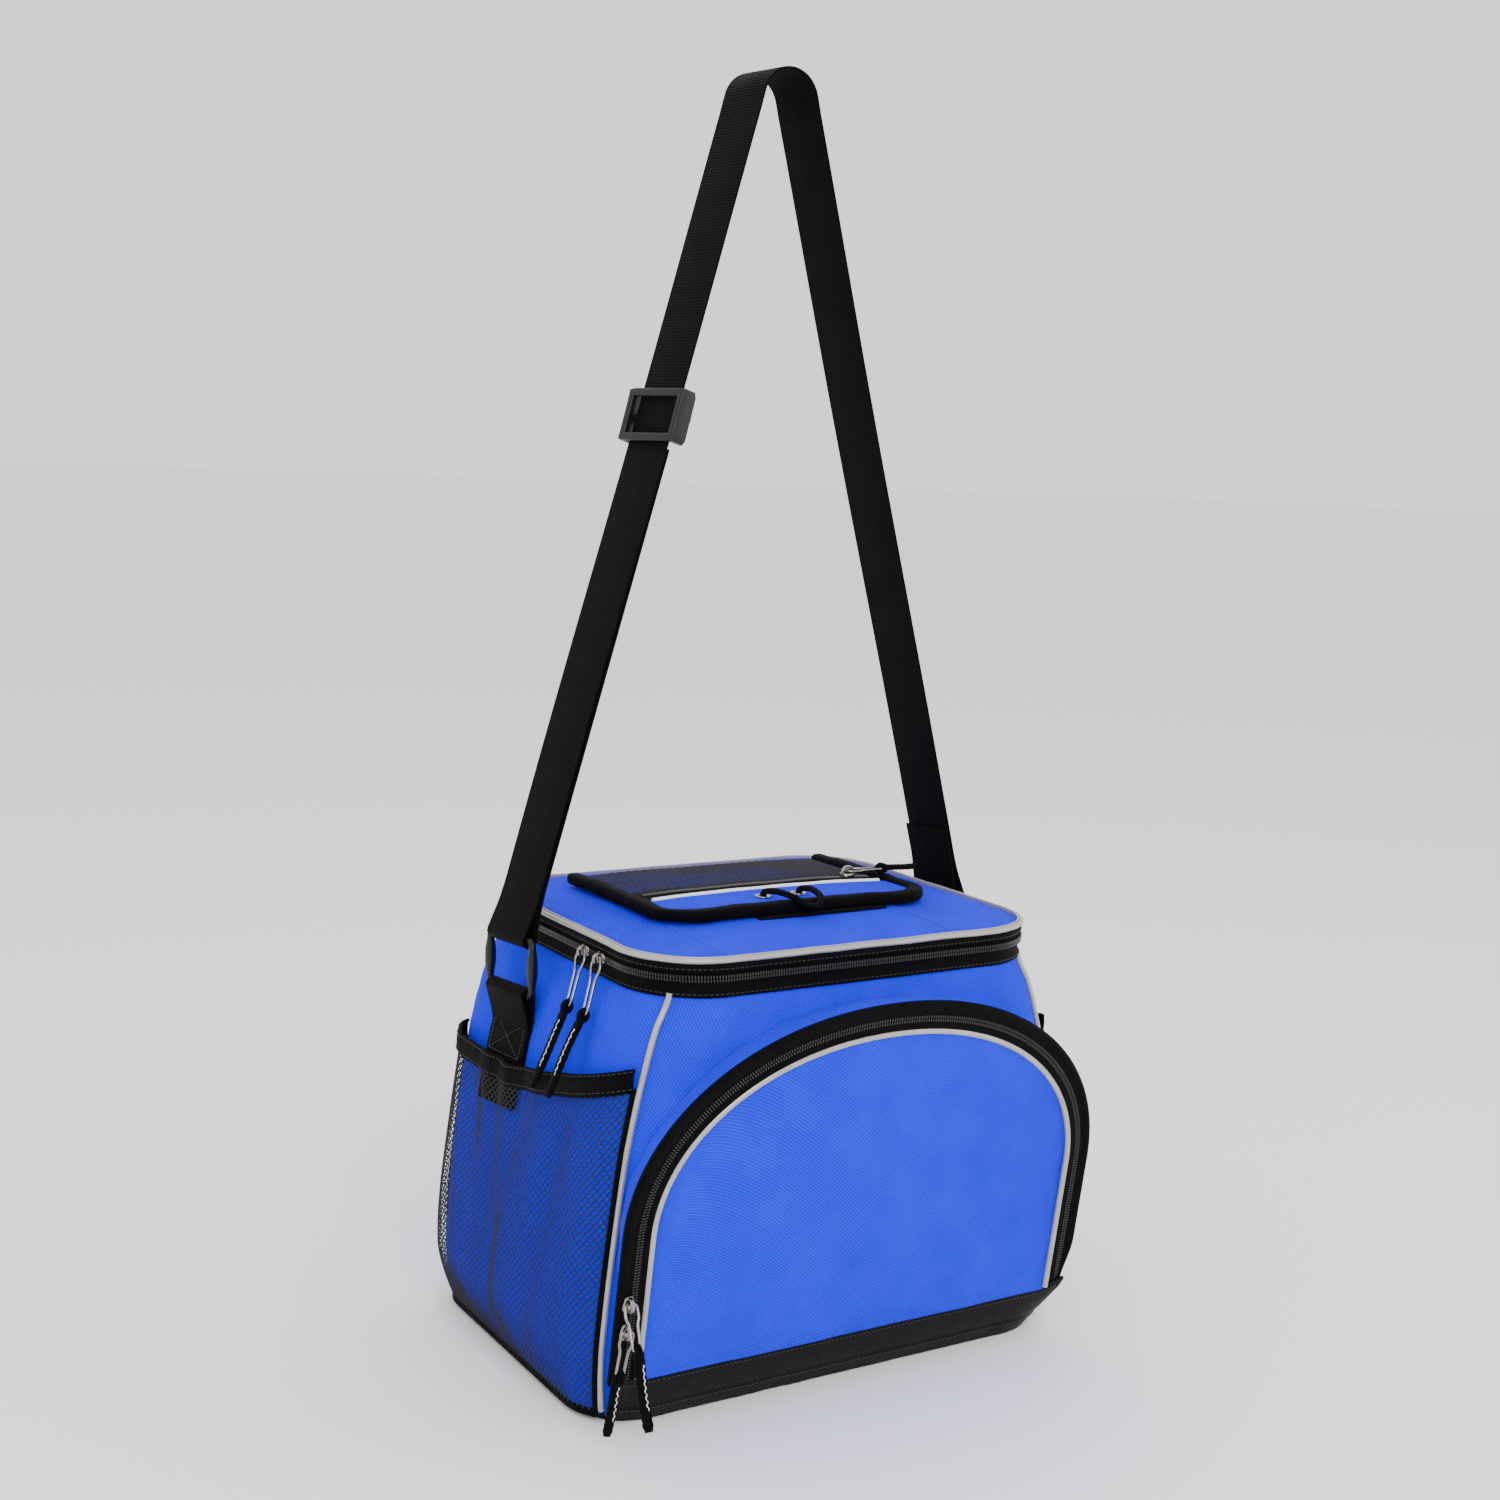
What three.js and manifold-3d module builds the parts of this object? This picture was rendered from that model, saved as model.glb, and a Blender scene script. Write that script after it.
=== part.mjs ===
// Insulated cooler bag with a zipped lid, a quick-access flap, a zipped front pocket,
// two mesh side pockets and a webbing shoulder strap. Millimetres, +Z up, front towards -Y.
// The origin is the middle of the base's underside.

import * as THREE from 'three';
import { mergeVertices } from 'three/addons/utils/BufferGeometryUtils.js';
import Module from 'manifold-3d';

const wasm = await Module();
wasm.setup();

// ---- Driving dimensions --------------------------------------------------------------

const GAP = 0.3; // clearance between pieces that touch

// The body's outline at each height: half width, front and back depth, corner radius.
const BODY_STATIONS = [
  { z: 0, halfWidth: 164, front: 108, back: 112, corner: 34 },
  { z: 12, halfWidth: 168, front: 113, back: 116, corner: 36 },
  { z: 38, halfWidth: 171, front: 117, back: 119, corner: 38 },
  { z: 75, halfWidth: 170.5, front: 120, back: 121, corner: 40 },
  { z: 116, halfWidth: 167, front: 121, back: 122, corner: 42 },
  { z: 168, halfWidth: 161, front: 122, back: 122, corner: 44 },
  { z: 203, halfWidth: 154, front: 122, back: 122, corner: 46 },
  { z: 231, halfWidth: 146, front: 121, back: 121, corner: 47 },
  { z: 252, halfWidth: 137, front: 119.5, back: 119.5, corner: 47 },
  { z: 260, halfWidth: 138, front: 120, back: 120, corner: 47 },
  { z: 300, halfWidth: 138, front: 120, back: 120, corner: 47 },
];

const BASE_THICKNESS = 3;
const STIFFENER_THICKNESS = 3;
const FABRIC = 1.2;
const FOAM = 7.5;
const LINER = 0.8;
const RIM = 252; // top of the outer fabric walls
const SPLIT = 260.2; // where the lid's zipper parts
const LID_EDGE = 270; // height of the lid's piping
const LID_CROWN = 6; // how far the lid domes above its piping
const PIPING_RADIUS = 2.1;
const PIPING_OUTSET = 1.5; // how far a corner piping's middle stands out of the walls
const ZIP_RIDGE = 0.6; // how far a zipper's coil stands out of its tape
const ZIP_RIDGE_WIDTH = 4.4;

const FLAP = { left: -90, right: 90, front: -50, back: 78 };
const FLAP_HOLE = { left: -76, right: 76, front: -36, back: 64 };
const FLAP_LIFT = 2; // clearance between the lid and the flap
const FLAP_THICKNESS = 2.4;
const FLAP_CORNER = 18;
const BINDING_RADIUS = 3;

const MESH_FOOT = 5;
const MESH_TOP_BACK = 172;
const MESH_TOP_FRONT = 198;
const MESH_STANDOFF = 10;
const MESH_THICKNESS = 1.2;
const SHEET_CLEARANCE = 1.7; // between a loose sheet's straight rows and the curved wall behind
const ELASTIC_HEIGHT = 11;

const ARCH = { halfWidth: 164, shoulder: 121, top: 242, power: 2.1 };
const ARCH_FOOT = 36;
const ARCH_BACK_SCALE = 0.92; // the gusset narrows towards the body
const POCKET_FOOT_Y = 124; // depth of the pocket's face at the arch's foot
const POCKET_LEAN = 0.142; // how far the face leans forward for each mm of height
const POCKET_TAPE = 8.6; // width of the zipper tape fixed to the gusset
const PANEL_TAPE = 4.6; // width of the zipper tape sewn to the pocket's face
const POCKET_BULGE = 9;
const TRIM_TOP = 34;

const WEBBING = { width: 38, thickness: 1.6 };
const STRAP_Y = 24;
const STRAP_TURN = THREE.MathUtils.degToRad(10);
const RING = { x: 161.5, width: 48, height: 38, bar: 4, bottomBarZ: 224.5 };
const RING_TOP_BAR_Z = RING.bottomBarZ + RING.height - RING.bar;
const APEX = { z: 766, radius: 18 };
const BUCKLE_SHARE = 0.62; // where the strap's slider sits on the left leg

const PULL_LENGTH = 72;
const WIRE = { length: 23, width: 7.6, bar: 1.6 };

// ---- Materials -----------------------------------------------------------------------

const material = (color, roughness, metalness = 0) =>
  () => new THREE.MeshStandardMaterial({ color, roughness, metalness });

const blue = material(0x2654ec, 0.75);
const black = material(0x0d0d0e, 0.85);
const coated = material(0x1c1a19, 0.55);
const silver = material(0xb9b6b0, 0.4);
const foam = material(0xe6e6e2, 0.9);
const liner = material(0xd4d8dc, 0.35);
const board = material(0x2a2a2a, 0.8);
const nickel = material(0xb8b6ae, 0.25, 1);
const plastic = material(0x121212, 0.45);

// ---- Solids --------------------------------------------------------------------------

// A closed body from shared points and triangles, turned so that its faces point out.
function closedBody(points, triangles) {
  let volume = 0;
  for (let i = 0; i < triangles.length; i += 3) {
    const [a, b, c] = [0, 1, 2].map((k) => new THREE.Vector3(...points[triangles[i + k]]));
    volume += a.dot(b.cross(c));
  }
  const faces = volume < 0 ? [...triangles].reverse() : triangles;
  const geometry = new THREE.BufferGeometry();
  geometry.setAttribute('position', new THREE.Float32BufferAttribute(points.flat(), 3));
  geometry.setIndex(faces);
  geometry.computeVertexNormals();
  return geometry;
}

// A sheet with thickness: two grids of points, joined along their edges. A looped sheet's
// last column meets its first one.
function slab(outer, inner, looped = false) {
  const rows = outer.length;
  const columns = outer[0].length;
  const index = (face, row, column) => (face * rows + row) * columns + (column % columns);
  const triangles = [];
  const quad = (a, b, c, d) => triangles.push(a, b, c, a, c, d);
  const spans = looped ? columns : columns - 1;
  for (let c = 0; c < spans; c += 1) {
    for (let r = 0; r < rows - 1; r += 1) {
      quad(index(0, r, c), index(0, r, c + 1), index(0, r + 1, c + 1), index(0, r + 1, c));
      quad(index(1, r, c), index(1, r + 1, c), index(1, r + 1, c + 1), index(1, r, c + 1));
    }
    const top = rows - 1;
    quad(index(0, 0, c), index(1, 0, c), index(1, 0, c + 1), index(0, 0, c + 1));
    quad(index(0, top, c), index(0, top, c + 1), index(1, top, c + 1), index(1, top, c));
  }
  if (!looped) {
    const end = columns - 1;
    for (let r = 0; r < rows - 1; r += 1) {
      quad(index(0, r, 0), index(0, r + 1, 0), index(1, r + 1, 0), index(1, r, 0));
      quad(index(0, r, end), index(1, r, end), index(1, r + 1, end), index(0, r + 1, end));
    }
  }
  return closedBody([...outer.flat(), ...inner.flat()], triangles);
}

// A solid through a stack of loops, closed by a flat cap at each end.
function loft(loops) {
  const count = loops[0].length;
  const middle = (loop) => [0, 1, 2].map((k) => loop.reduce((sum, p) => sum + p[k], 0) / count);
  const points = [...loops.flat(), middle(loops[0]), middle(loops.at(-1))];
  const triangles = [];
  const bottom = points.length - 2;
  const last = (loops.length - 1) * count;
  for (let i = 0; i < count; i += 1) {
    const j = (i + 1) % count;
    for (let k = 0; k < last; k += count) {
      triangles.push(k + i, k + j, k + count + j, k + i, k + count + j, k + count + i);
    }
    triangles.push(bottom, j, i, bottom + 1, last + i, last + j);
  }
  return closedBody(points, triangles);
}

function toManifold(geometry) {
  const bare = geometry.clone();
  bare.deleteAttribute('normal');
  if (bare.hasAttribute('uv')) bare.deleteAttribute('uv');
  const merged = mergeVertices(bare, 1e-4);
  return new wasm.Manifold(new wasm.Mesh({
    numProp: 3,
    vertProperties: merged.attributes.position.array,
    triVerts: new Uint32Array(merged.index.array),
  }));
}

function fromManifold(manifold) {
  const mesh = manifold.getMesh();
  const geometry = new THREE.BufferGeometry();
  geometry.setAttribute('position', new THREE.BufferAttribute(mesh.vertProperties, 3));
  geometry.setIndex(new THREE.BufferAttribute(mesh.triVerts, 1));
  geometry.computeVertexNormals();
  return geometry;
}

function join(...geometries) {
  return fromManifold(geometries.map(toManifold).reduce((a, b) => a.add(b)));
}

function cut(geometry, tool) {
  return fromManifold(toManifold(geometry).subtract(toManifold(tool)));
}

function boxAt(size, centre) {
  return new THREE.BoxGeometry(...size).translate(...centre);
}

const TUBE_SIDES = 8;

// A round tube along a smooth curve through the points, with steps between its rings.
function tube(points, radius, steps) {
  const curve = new THREE.CatmullRomCurve3(points.map((p) => new THREE.Vector3(...p)));
  const section = new THREE.Shape();
  section.absarc(0, 0, radius, 0, 2 * Math.PI, false);
  return new THREE.ExtrudeGeometry(section, {
    steps, extrudePath: curve, curveSegments: TUBE_SIDES / 2, bevelEnabled: false,
  });
}

// A closed ring of a round tube: the section follows every point of the loop.
function ringTube(loop, radius) {
  const centre = new THREE.Vector3();
  loop.forEach((p) => centre.add(new THREE.Vector3(...p)));
  centre.divideScalar(loop.length);
  const sections = loop.map((p, i) => {
    const next = new THREE.Vector3(...loop[(i + 1) % loop.length]);
    const before = new THREE.Vector3(...loop.at(i - 1));
    const along = next.sub(before).normalize();
    const up = new THREE.Vector3(0, 0, 1);
    const out = new THREE.Vector3().crossVectors(along, up).normalize();
    return Array.from({ length: TUBE_SIDES }, (_, k) => {
      const angle = (2 * Math.PI * k) / TUBE_SIDES;
      return new THREE.Vector3(...p)
        .addScaledVector(out, radius * Math.cos(angle))
        .addScaledVector(up, radius * Math.sin(angle))
        .toArray();
    });
  });
  const points = sections.flat();
  const triangles = [];
  for (let i = 0; i < loop.length; i += 1) {
    const next = (i + 1) % loop.length;
    for (let k = 0; k < TUBE_SIDES; k += 1) {
      const a = i * TUBE_SIDES + k;
      const b = i * TUBE_SIDES + ((k + 1) % TUBE_SIDES);
      const c = next * TUBE_SIDES + ((k + 1) % TUBE_SIDES);
      const d = next * TUBE_SIDES + k;
      triangles.push(a, b, c, a, c, d);
    }
  }
  return closedBody(points, triangles);
}

// A flat band whose middle line runs through stations in the XZ plane. Each station has a
// turn about Z, which twists the band's width away from the Y axis.
function ribbon(stations, y, { width, thickness }) {
  const grid = (side) => stations.map((station, i) => {
    const before = stations[Math.max(i - 1, 0)];
    const after = stations[Math.min(i + 1, stations.length - 1)];
    const along = new THREE.Vector2(after.x - before.x, after.z - before.z).normalize();
    const shift = (side * thickness) / 2;
    return [-1, 1].map((edge) => [
      station.x - along.y * shift - (edge * width * Math.sin(station.turn)) / 2,
      y + (edge * width * Math.cos(station.turn)) / 2,
      station.z + along.x * shift,
    ]);
  });
  return slab(grid(1), grid(-1));
}

// ---- The body's outline --------------------------------------------------------------

const QUARTER = Math.PI / 2;
const ARC_STEPS = 2;
const FLAT_STEPS = 4;
const SIDE_END = 2 * ARC_STEPS + FLAT_STEPS;
const FRONT = 0;
const RIGHT = 1;
const BACK = 2;
const LEFT = 3;

// A point on a rectangle with round corners. Sides run anticlockwise from the front, each
// from the middle of one corner to the middle of the next, in SIDE_END steps.
function rectanglePoint({ left, right, front, back }, radius, side, step, trim = 0) {
  const centres = [
    [left + radius, front + radius],
    [right - radius, front + radius],
    [right - radius, back - radius],
    [left + radius, back - radius],
  ];
  const start = centres[side];
  const end = centres[(side + 1) % 4];
  const first = (2.5 + side) * QUARTER;
  const turn = (QUARTER / 2 - trim) / ARC_STEPS;
  const onCorner = ([x, y], angle) => [x + radius * Math.cos(angle), y + radius * Math.sin(angle)];
  if (step <= ARC_STEPS) return onCorner(start, first + trim + turn * step);
  if (step >= SIDE_END - ARC_STEPS) {
    return onCorner(end, first + QUARTER - trim - turn * (SIDE_END - step));
  }
  const share = (step - ARC_STEPS) / FLAT_STEPS;
  const [a, b] = [start, end].map((centre) => onCorner(centre, first + QUARTER / 2));
  return [a[0] + (b[0] - a[0]) * share, a[1] + (b[1] - a[1]) * share];
}

function rectangleLoop(rectangle, radius) {
  const loop = [];
  for (let side = 0; side < 4; side += 1) {
    for (let step = 0; step < SIDE_END; step += 1) {
      loop.push(rectanglePoint(rectangle, radius, side, step));
    }
  }
  return loop;
}

function bodyAt(z) {
  const next = BODY_STATIONS.findIndex((station) => station.z > z);
  const upper = BODY_STATIONS[next];
  const lower = BODY_STATIONS[next - 1];
  const share = (z - lower.z) / (upper.z - lower.z);
  const mix = (key) => THREE.MathUtils.lerp(lower[key], upper[key], share);
  return { halfWidth: mix('halfWidth'), front: mix('front'), back: mix('back'), corner: mix('corner') };
}

function bodyRectangle(z, inset) {
  const { halfWidth, front, back } = bodyAt(z);
  return {
    left: inset - halfWidth, right: halfWidth - inset, front: inset - front, back: back - inset,
  };
}

function bodyLoop(z, inset) {
  return rectangleLoop(bodyRectangle(z, inset), bodyAt(z).corner - inset).map(([x, y]) => [x, y, z]);
}

function sidePoint(side, step, z, inset, cornerGap) {
  const radius = bodyAt(z).corner - inset;
  return [...rectanglePoint(bodyRectangle(z, inset), radius, side, step, cornerGap / radius), z];
}

const lerp = THREE.MathUtils.lerp;

function levels(from, to) {
  const between = BODY_STATIONS.map((station) => station.z).filter((z) => z > from + 2 && z < to - 2);
  return [from, ...between, to];
}

// A wall of one side between two depths below the body's outline.
function wall(side, from, to, outerInset, innerInset, cornerGap) {
  const steps = Array.from({ length: SIDE_END + 1 }, (_, i) => i);
  const grid = (inset) => levels(from, to)
    .map((z) => steps.map((step) => sidePoint(side, step, z, inset, cornerGap)));
  return slab(grid(outerInset), grid(innerInset));
}

// A sheet that stands off one side. heights and standoff are functions of the share of the
// way along the side and of the way up.
function looseWall(side, rows, heightAt, standoffAt, thickness, cornerGap) {
  const grid = (extra) => Array.from({ length: rows + 1 }, (_, row) =>
    Array.from({ length: SIDE_END + 1 }, (_, step) => {
      const along = step / SIDE_END;
      const up = row / rows;
      const inset = -(GAP + standoffAt(along, up) + extra);
      return sidePoint(side, step, heightAt(along, up), inset, cornerGap);
    }));
  return slab(grid(thickness), grid(0));
}

// A ring round the whole body: stations of height, outer and inner inset.
function band(stations) {
  const grid = (key) => stations.map((station) => bodyLoop(station.z, station[key]));
  return slab(grid('outer'), grid('inner'), true);
}

// ---- Parts of the body ---------------------------------------------------------------

const group = new THREE.Group();

function place(name, geometry, makeMaterial, parent = group) {
  const mesh = new THREE.Mesh(geometry, makeMaterial());
  mesh.name = name;
  parent.add(mesh);
  return mesh;
}

const FOAM_FOOT = BASE_THICKNESS + STIFFENER_THICKNESS + 2 * GAP;
const FOAM_OUTER = FABRIC + GAP;
const FOAM_INNER = FOAM_OUTER + FOAM;
const FLOOR = FOAM_FOOT + FOAM + GAP;
const BODY_TOP = SPLIT - GAP;

function addBase() {
  const plate = (from, to, inset) => loft([bodyLoop(from, inset), bodyLoop(to, inset)]);
  const stiffenerFoot = BASE_THICKNESS + GAP;
  place('base_panel', plate(0, BASE_THICKNESS, 0), coated);
  place('base_stiffener', plate(stiffenerFoot, stiffenerFoot + STIFFENER_THICKNESS, 2), board);
  place('foam_base', plate(FOAM_FOOT, FOAM_FOOT + FOAM, FOAM_INNER + GAP), foam);
}

function addWalls() {
  const pipingRoom = PIPING_RADIUS + 2 * GAP;
  const foot = BASE_THICKNESS + GAP;
  ['front', 'right', 'back', 'left'].forEach((name, side) => {
    place(`${name}_wall`, wall(side, foot, RIM, 0, FABRIC, pipingRoom), blue);
    place(`foam_${name}`, wall(side, FOAM_FOOT, BODY_TOP, FOAM_OUTER, FOAM_INNER, GAP), foam);
  });
}

function addLiner() {
  const solid = (from, to, inset) => loft(levels(from, to).map((z) => bodyLoop(z, inset)));
  const outside = solid(FLOOR, BODY_TOP, FOAM_INNER + GAP);
  const inside = solid(FLOOR + LINER, BODY_TOP + 5, FOAM_INNER + GAP + LINER);
  place('liner_tub', cut(outside, inside), liner);
}

function addBodyZip() {
  const tapeOut = -GAP;
  const ridgeOut = -(GAP + ZIP_RIDGE);
  place('body_zip_tape', band([
    { z: RIM + GAP, outer: tapeOut, inner: FABRIC },
    { z: SPLIT - 2.2, outer: tapeOut, inner: FABRIC },
    { z: SPLIT - 1.8, outer: ridgeOut, inner: FABRIC },
    { z: SPLIT - GAP / 2, outer: ridgeOut, inner: FABRIC },
  ]), black);
}

function addCornerPiping() {
  ['front_left', 'front_right', 'back_right', 'back_left'].forEach((name, side) => {
    const route = levels(9, RIM - 2).map((z) => sidePoint(side, 0, z, -PIPING_OUTSET, 0));
    place(`piping_${name}`, tube(route, PIPING_RADIUS, route.length + 4), silver);
  });
}

// ---- Mesh side pockets ---------------------------------------------------------------

function addMeshPocket(name, side) {
  const fromBack = (along) => (side === LEFT ? along : 1 - along);
  const topAt = (along) =>
    lerp(MESH_TOP_BACK, MESH_TOP_FRONT, Math.max(0, (fromBack(along) - 0.45) / 0.55) ** 1.3);
  const bulge = (along) => Math.sin(Math.PI * fromBack(along) ** 0.8) ** 0.8;
  const meshStandoff = (along, up) =>
    MESH_STANDOFF * Math.max(0, bulge(along)) * Math.min(1, 5 * up) + SHEET_CLEARANCE;
  const meshHeight = (along, up) => lerp(MESH_FOOT, topAt(along), up);
  const elasticHeight = (along, up) => topAt(along) + GAP + ELASTIC_HEIGHT * up;
  const elasticStandoff = (along) => MESH_STANDOFF * Math.max(0, bulge(along)) + SHEET_CLEARANCE;
  const cornerGap = PIPING_RADIUS + 4 * GAP;
  place(`${name}_mesh_pocket`,
    looseWall(side, 7, meshHeight, meshStandoff, MESH_THICKNESS, cornerGap), black);
  place(`${name}_pocket_elastic`,
    looseWall(side, 1, elasticHeight, elasticStandoff, MESH_THICKNESS + GAP, cornerGap), black);
}

// ---- Front pocket --------------------------------------------------------------------

const ARCH_STEPS = 22;
const ARCH_UPRIGHT_STEPS = 2;

// A point on the pocket's arch, from its left foot over the top to its right foot.
function archPoint(step, inset, foot) {
  const halfWidth = ARCH.halfWidth - inset;
  const rise = ARCH.top - ARCH.shoulder - inset;
  const side = step <= ARCH_STEPS / 2 ? -1 : 1;
  const fromFoot = Math.min(step, ARCH_STEPS - step);
  if (fromFoot < ARCH_UPRIGHT_STEPS) {
    return [side * halfWidth, lerp(foot, ARCH.shoulder, fromFoot / ARCH_UPRIGHT_STEPS)];
  }
  const share = (fromFoot - ARCH_UPRIGHT_STEPS) / (ARCH_STEPS / 2 - ARCH_UPRIGHT_STEPS);
  const angle = share * QUARTER;
  const power = 2 / ARCH.power;
  return [
    side * halfWidth * Math.max(0, Math.cos(angle)) ** power,
    ARCH.shoulder + rise * Math.sin(angle) ** power,
  ];
}

function pocketFaceY(z) {
  return -(POCKET_FOOT_Y + POCKET_LEAN * (z - ARCH_FOOT));
}

// How far forward the body's own surface reaches at a place on the front.
function frontSurfaceY(x, z) {
  const { halfWidth, front, corner } = bodyAt(z);
  const past = Math.max(0, Math.abs(x) - (halfWidth - corner));
  return -(front - corner + Math.sqrt(corner ** 2 - Math.min(past, corner - 1) ** 2));
}

// A strip of the arch between two insets, lying on the pocket's face.
function archStrip(rows, foot) {
  const grid = (key) => rows.map((row) =>
    Array.from({ length: ARCH_STEPS + 1 }, (_, step) => {
      const [x, z] = archPoint(step, row.inset, foot);
      return [x, pocketFaceY(z) - row[key], z];
    }));
  return slab(grid('front'), grid('back'));
}

function addPocketGusset() {
  const thickness = 1.6;
  const foot = TRIM_TOP + GAP;
  const grid = (inset) => [0, 1].map((row) =>
    Array.from({ length: ARCH_STEPS + 1 }, (_, step) => {
      const [x, z] = archPoint(step, inset, foot);
      if (row === 1) return [x, pocketFaceY(z) + GAP, z];
      const height = lerp(foot, z, 0.975);
      const inner = x * ARCH_BACK_SCALE;
      return [inner, frontSurfaceY(inner, height) - 2 * GAP, height];
    }));
  place('pocket_gusset', slab(grid(0), grid(thickness)), blue);
}

function addPocketZip() {
  const ridge = FABRIC + ZIP_RIDGE;
  place('pocket_zip_tape', archStrip([
    { inset: 0, front: FABRIC, back: 0 },
    { inset: POCKET_TAPE - ZIP_RIDGE_WIDTH - 0.4, front: FABRIC, back: 0 },
    { inset: POCKET_TAPE - ZIP_RIDGE_WIDTH, front: ridge, back: 0 },
    { inset: POCKET_TAPE, front: ridge, back: 0 },
  ], TRIM_TOP + GAP), black);
}

function addPocketPanel(parent) {
  const tapeStart = POCKET_TAPE + GAP;
  const pipingAt = tapeStart + PANEL_TAPE + 3 * GAP + PIPING_RADIUS;
  const panelAt = pipingAt + PIPING_RADIUS + 3 * GAP;
  place('pocket_panel_tape', archStrip([
    { inset: tapeStart, front: FABRIC, back: 0 },
    { inset: tapeStart + PANEL_TAPE, front: FABRIC, back: 0 },
  ], ARCH_FOOT), black, parent);
  const route = Array.from({ length: ARCH_STEPS + 1 }, (_, step) => {
    const [x, z] = archPoint(step, pipingAt, ARCH_FOOT);
    return [x, pocketFaceY(z) - PIPING_RADIUS / 2, z];
  });
  place('pocket_piping', tube(route, PIPING_RADIUS, 30), silver, parent);

  const columns = 16;
  const rows = 8;
  const halfWidth = ARCH.halfWidth - panelAt;
  const rise = ARCH.top - ARCH.shoulder - panelAt;
  const grid = (isFront) => Array.from({ length: rows + 1 }, (_, row) =>
    Array.from({ length: columns + 1 }, (_, column) => {
      const across = -Math.cos((Math.PI * column) / columns);
      const arch = Math.max(0, 1 - Math.abs(across) ** ARCH.power) ** (1 / ARCH.power);
      const z = lerp(ARCH_FOOT, ARCH.shoulder + rise * arch, row / rows);
      const up = row / rows;
      const bulge = (1 - Math.abs(across) ** 3) * Math.sqrt(4 * up * (1 - up));
      const lift = isFront ? 1.5 + POCKET_BULGE * bulge : -2;
      return [halfWidth * across, pocketFaceY(z) - lift, z];
    }));
  place('pocket_panel', slab(grid(true), grid(false)), blue, parent);
}

function addFrontTrim() {
  const standoff = (along, up) =>
    lerp(2.5, 6.5, up) * Math.sin(Math.PI * along) ** 0.25 + SHEET_CLEARANCE;
  const height = (along, up) => lerp(BASE_THICKNESS + GAP, TRIM_TOP, up);
  place('front_trim', looseWall(FRONT, 3, height, standoff, 2, PIPING_RADIUS + 4 * GAP), coated);
}

// ---- Lid -----------------------------------------------------------------------------

const LID_RECTANGLE = bodyRectangle(LID_EDGE, 0);

function domeHeight(x, y) {
  const across = Math.min(1, Math.abs(x / LID_RECTANGLE.right));
  const along = Math.min(1, Math.abs(y / LID_RECTANGLE.back));
  return LID_EDGE + LID_CROWN * (1 - across ** 3) * (1 - along ** 3);
}

// A sheet of the lid between its outline and the hole that the flap covers.
function lidSheet(inset, shares, topAt, bottomAt) {
  const outside = bodyLoop(LID_EDGE, inset);
  const hole = rectangleLoop(FLAP_HOLE, 12);
  const grid = (heightAt) => shares.map((share) => outside.map(([x, y], i) => {
    const point = [lerp(x, hole[i][0], share), lerp(y, hole[i][1], share)];
    return [...point, heightAt(...point)];
  }));
  return slab(grid(topAt), grid(bottomAt), true);
}

function addLid(parent) {
  const tapeOut = -GAP;
  const ridgeOut = -(GAP + ZIP_RIDGE);
  const pipingZ = LID_EDGE + GAP;
  const tapeTop = pipingZ - PIPING_RADIUS - GAP;
  const foamFoot = SPLIT + 2.3;
  const pipingInset = -PIPING_RADIUS / 4;
  place('lid_panel', lidSheet(PIPING_RADIUS + GAP, [0, 0.35, 0.7, 1],
    domeHeight, (x, y) => domeHeight(x, y) - FABRIC), blue, parent);
  place('lid_foam', lidSheet(PIPING_RADIUS + GAP, [0, 0.5, 1],
    (x, y) => domeHeight(x, y) - FABRIC - GAP, () => foamFoot), foam, parent);
  place('lid_liner', lidSheet(PIPING_RADIUS + GAP, [0, 1],
    () => foamFoot - GAP, () => foamFoot - GAP - LINER), liner, parent);
  place('lid_zip_tape', band([
    { z: SPLIT + GAP, outer: ridgeOut, inner: FABRIC },
    { z: SPLIT + 1.8, outer: ridgeOut, inner: FABRIC },
    { z: SPLIT + 2.2, outer: tapeOut, inner: FABRIC },
    { z: tapeTop, outer: tapeOut, inner: FABRIC },
  ]), black, parent);
  const loop = bodyLoop(LID_EDGE, pipingInset).map(([x, y]) => [x, y, pipingZ]);
  place('lid_piping', ringTube(loop, PIPING_RADIUS), silver, parent);
}

function addLidHinge() {
  const behind = (y) => [[-84, y], [84, y]];
  const rows = [RIM - 4, SPLIT, LID_EDGE - 4];
  const grid = (depth) => rows.map((z) => behind(LID_RECTANGLE.back + depth).map(([x, y]) => [x, y, z]));
  place('lid_hinge_strip', slab(grid(2 * GAP + ZIP_RIDGE + 1), grid(2 * GAP + ZIP_RIDGE)), black);
}

// ---- Flap on the lid -----------------------------------------------------------------

const FLAP_TOP = FLAP_LIFT + FLAP_THICKNESS;

// A rectangular sheet that follows the lid's dome between two heights above it.
function domePatch({ left, right, front, back }, from, to, columns = 6, rows = 4) {
  const grid = (lift) => Array.from({ length: rows + 1 }, (_, row) =>
    Array.from({ length: columns + 1 }, (_, column) => {
      const x = lerp(left, right, column / columns);
      const y = lerp(front, back, row / rows);
      return [x, y, domeHeight(x, y) + lift];
    }));
  return slab(grid(to), grid(from));
}

// Rounds a flap layer's two front corners.
function roundFront(geometry) {
  const { left, right, front, back } = FLAP;
  const outline = new THREE.Shape();
  outline.moveTo(left, back + 1);
  outline.absarc(left + FLAP_CORNER, front + FLAP_CORNER, FLAP_CORNER, 2 * QUARTER, 3 * QUARTER, false);
  outline.absarc(right - FLAP_CORNER, front + FLAP_CORNER, FLAP_CORNER, 3 * QUARTER, 4 * QUARTER, false);
  outline.lineTo(right, back + 1);
  const prism = new THREE.ExtrudeGeometry(outline, { depth: 60, bevelEnabled: false, curveSegments: 4 });
  return fromManifold(toManifold(geometry).intersect(toManifold(prism.translate(0, 0, LID_EDGE - 20))));
}

const overDome = (lift) => ([x, y]) => [x, y, domeHeight(x, y) + lift];

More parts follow.
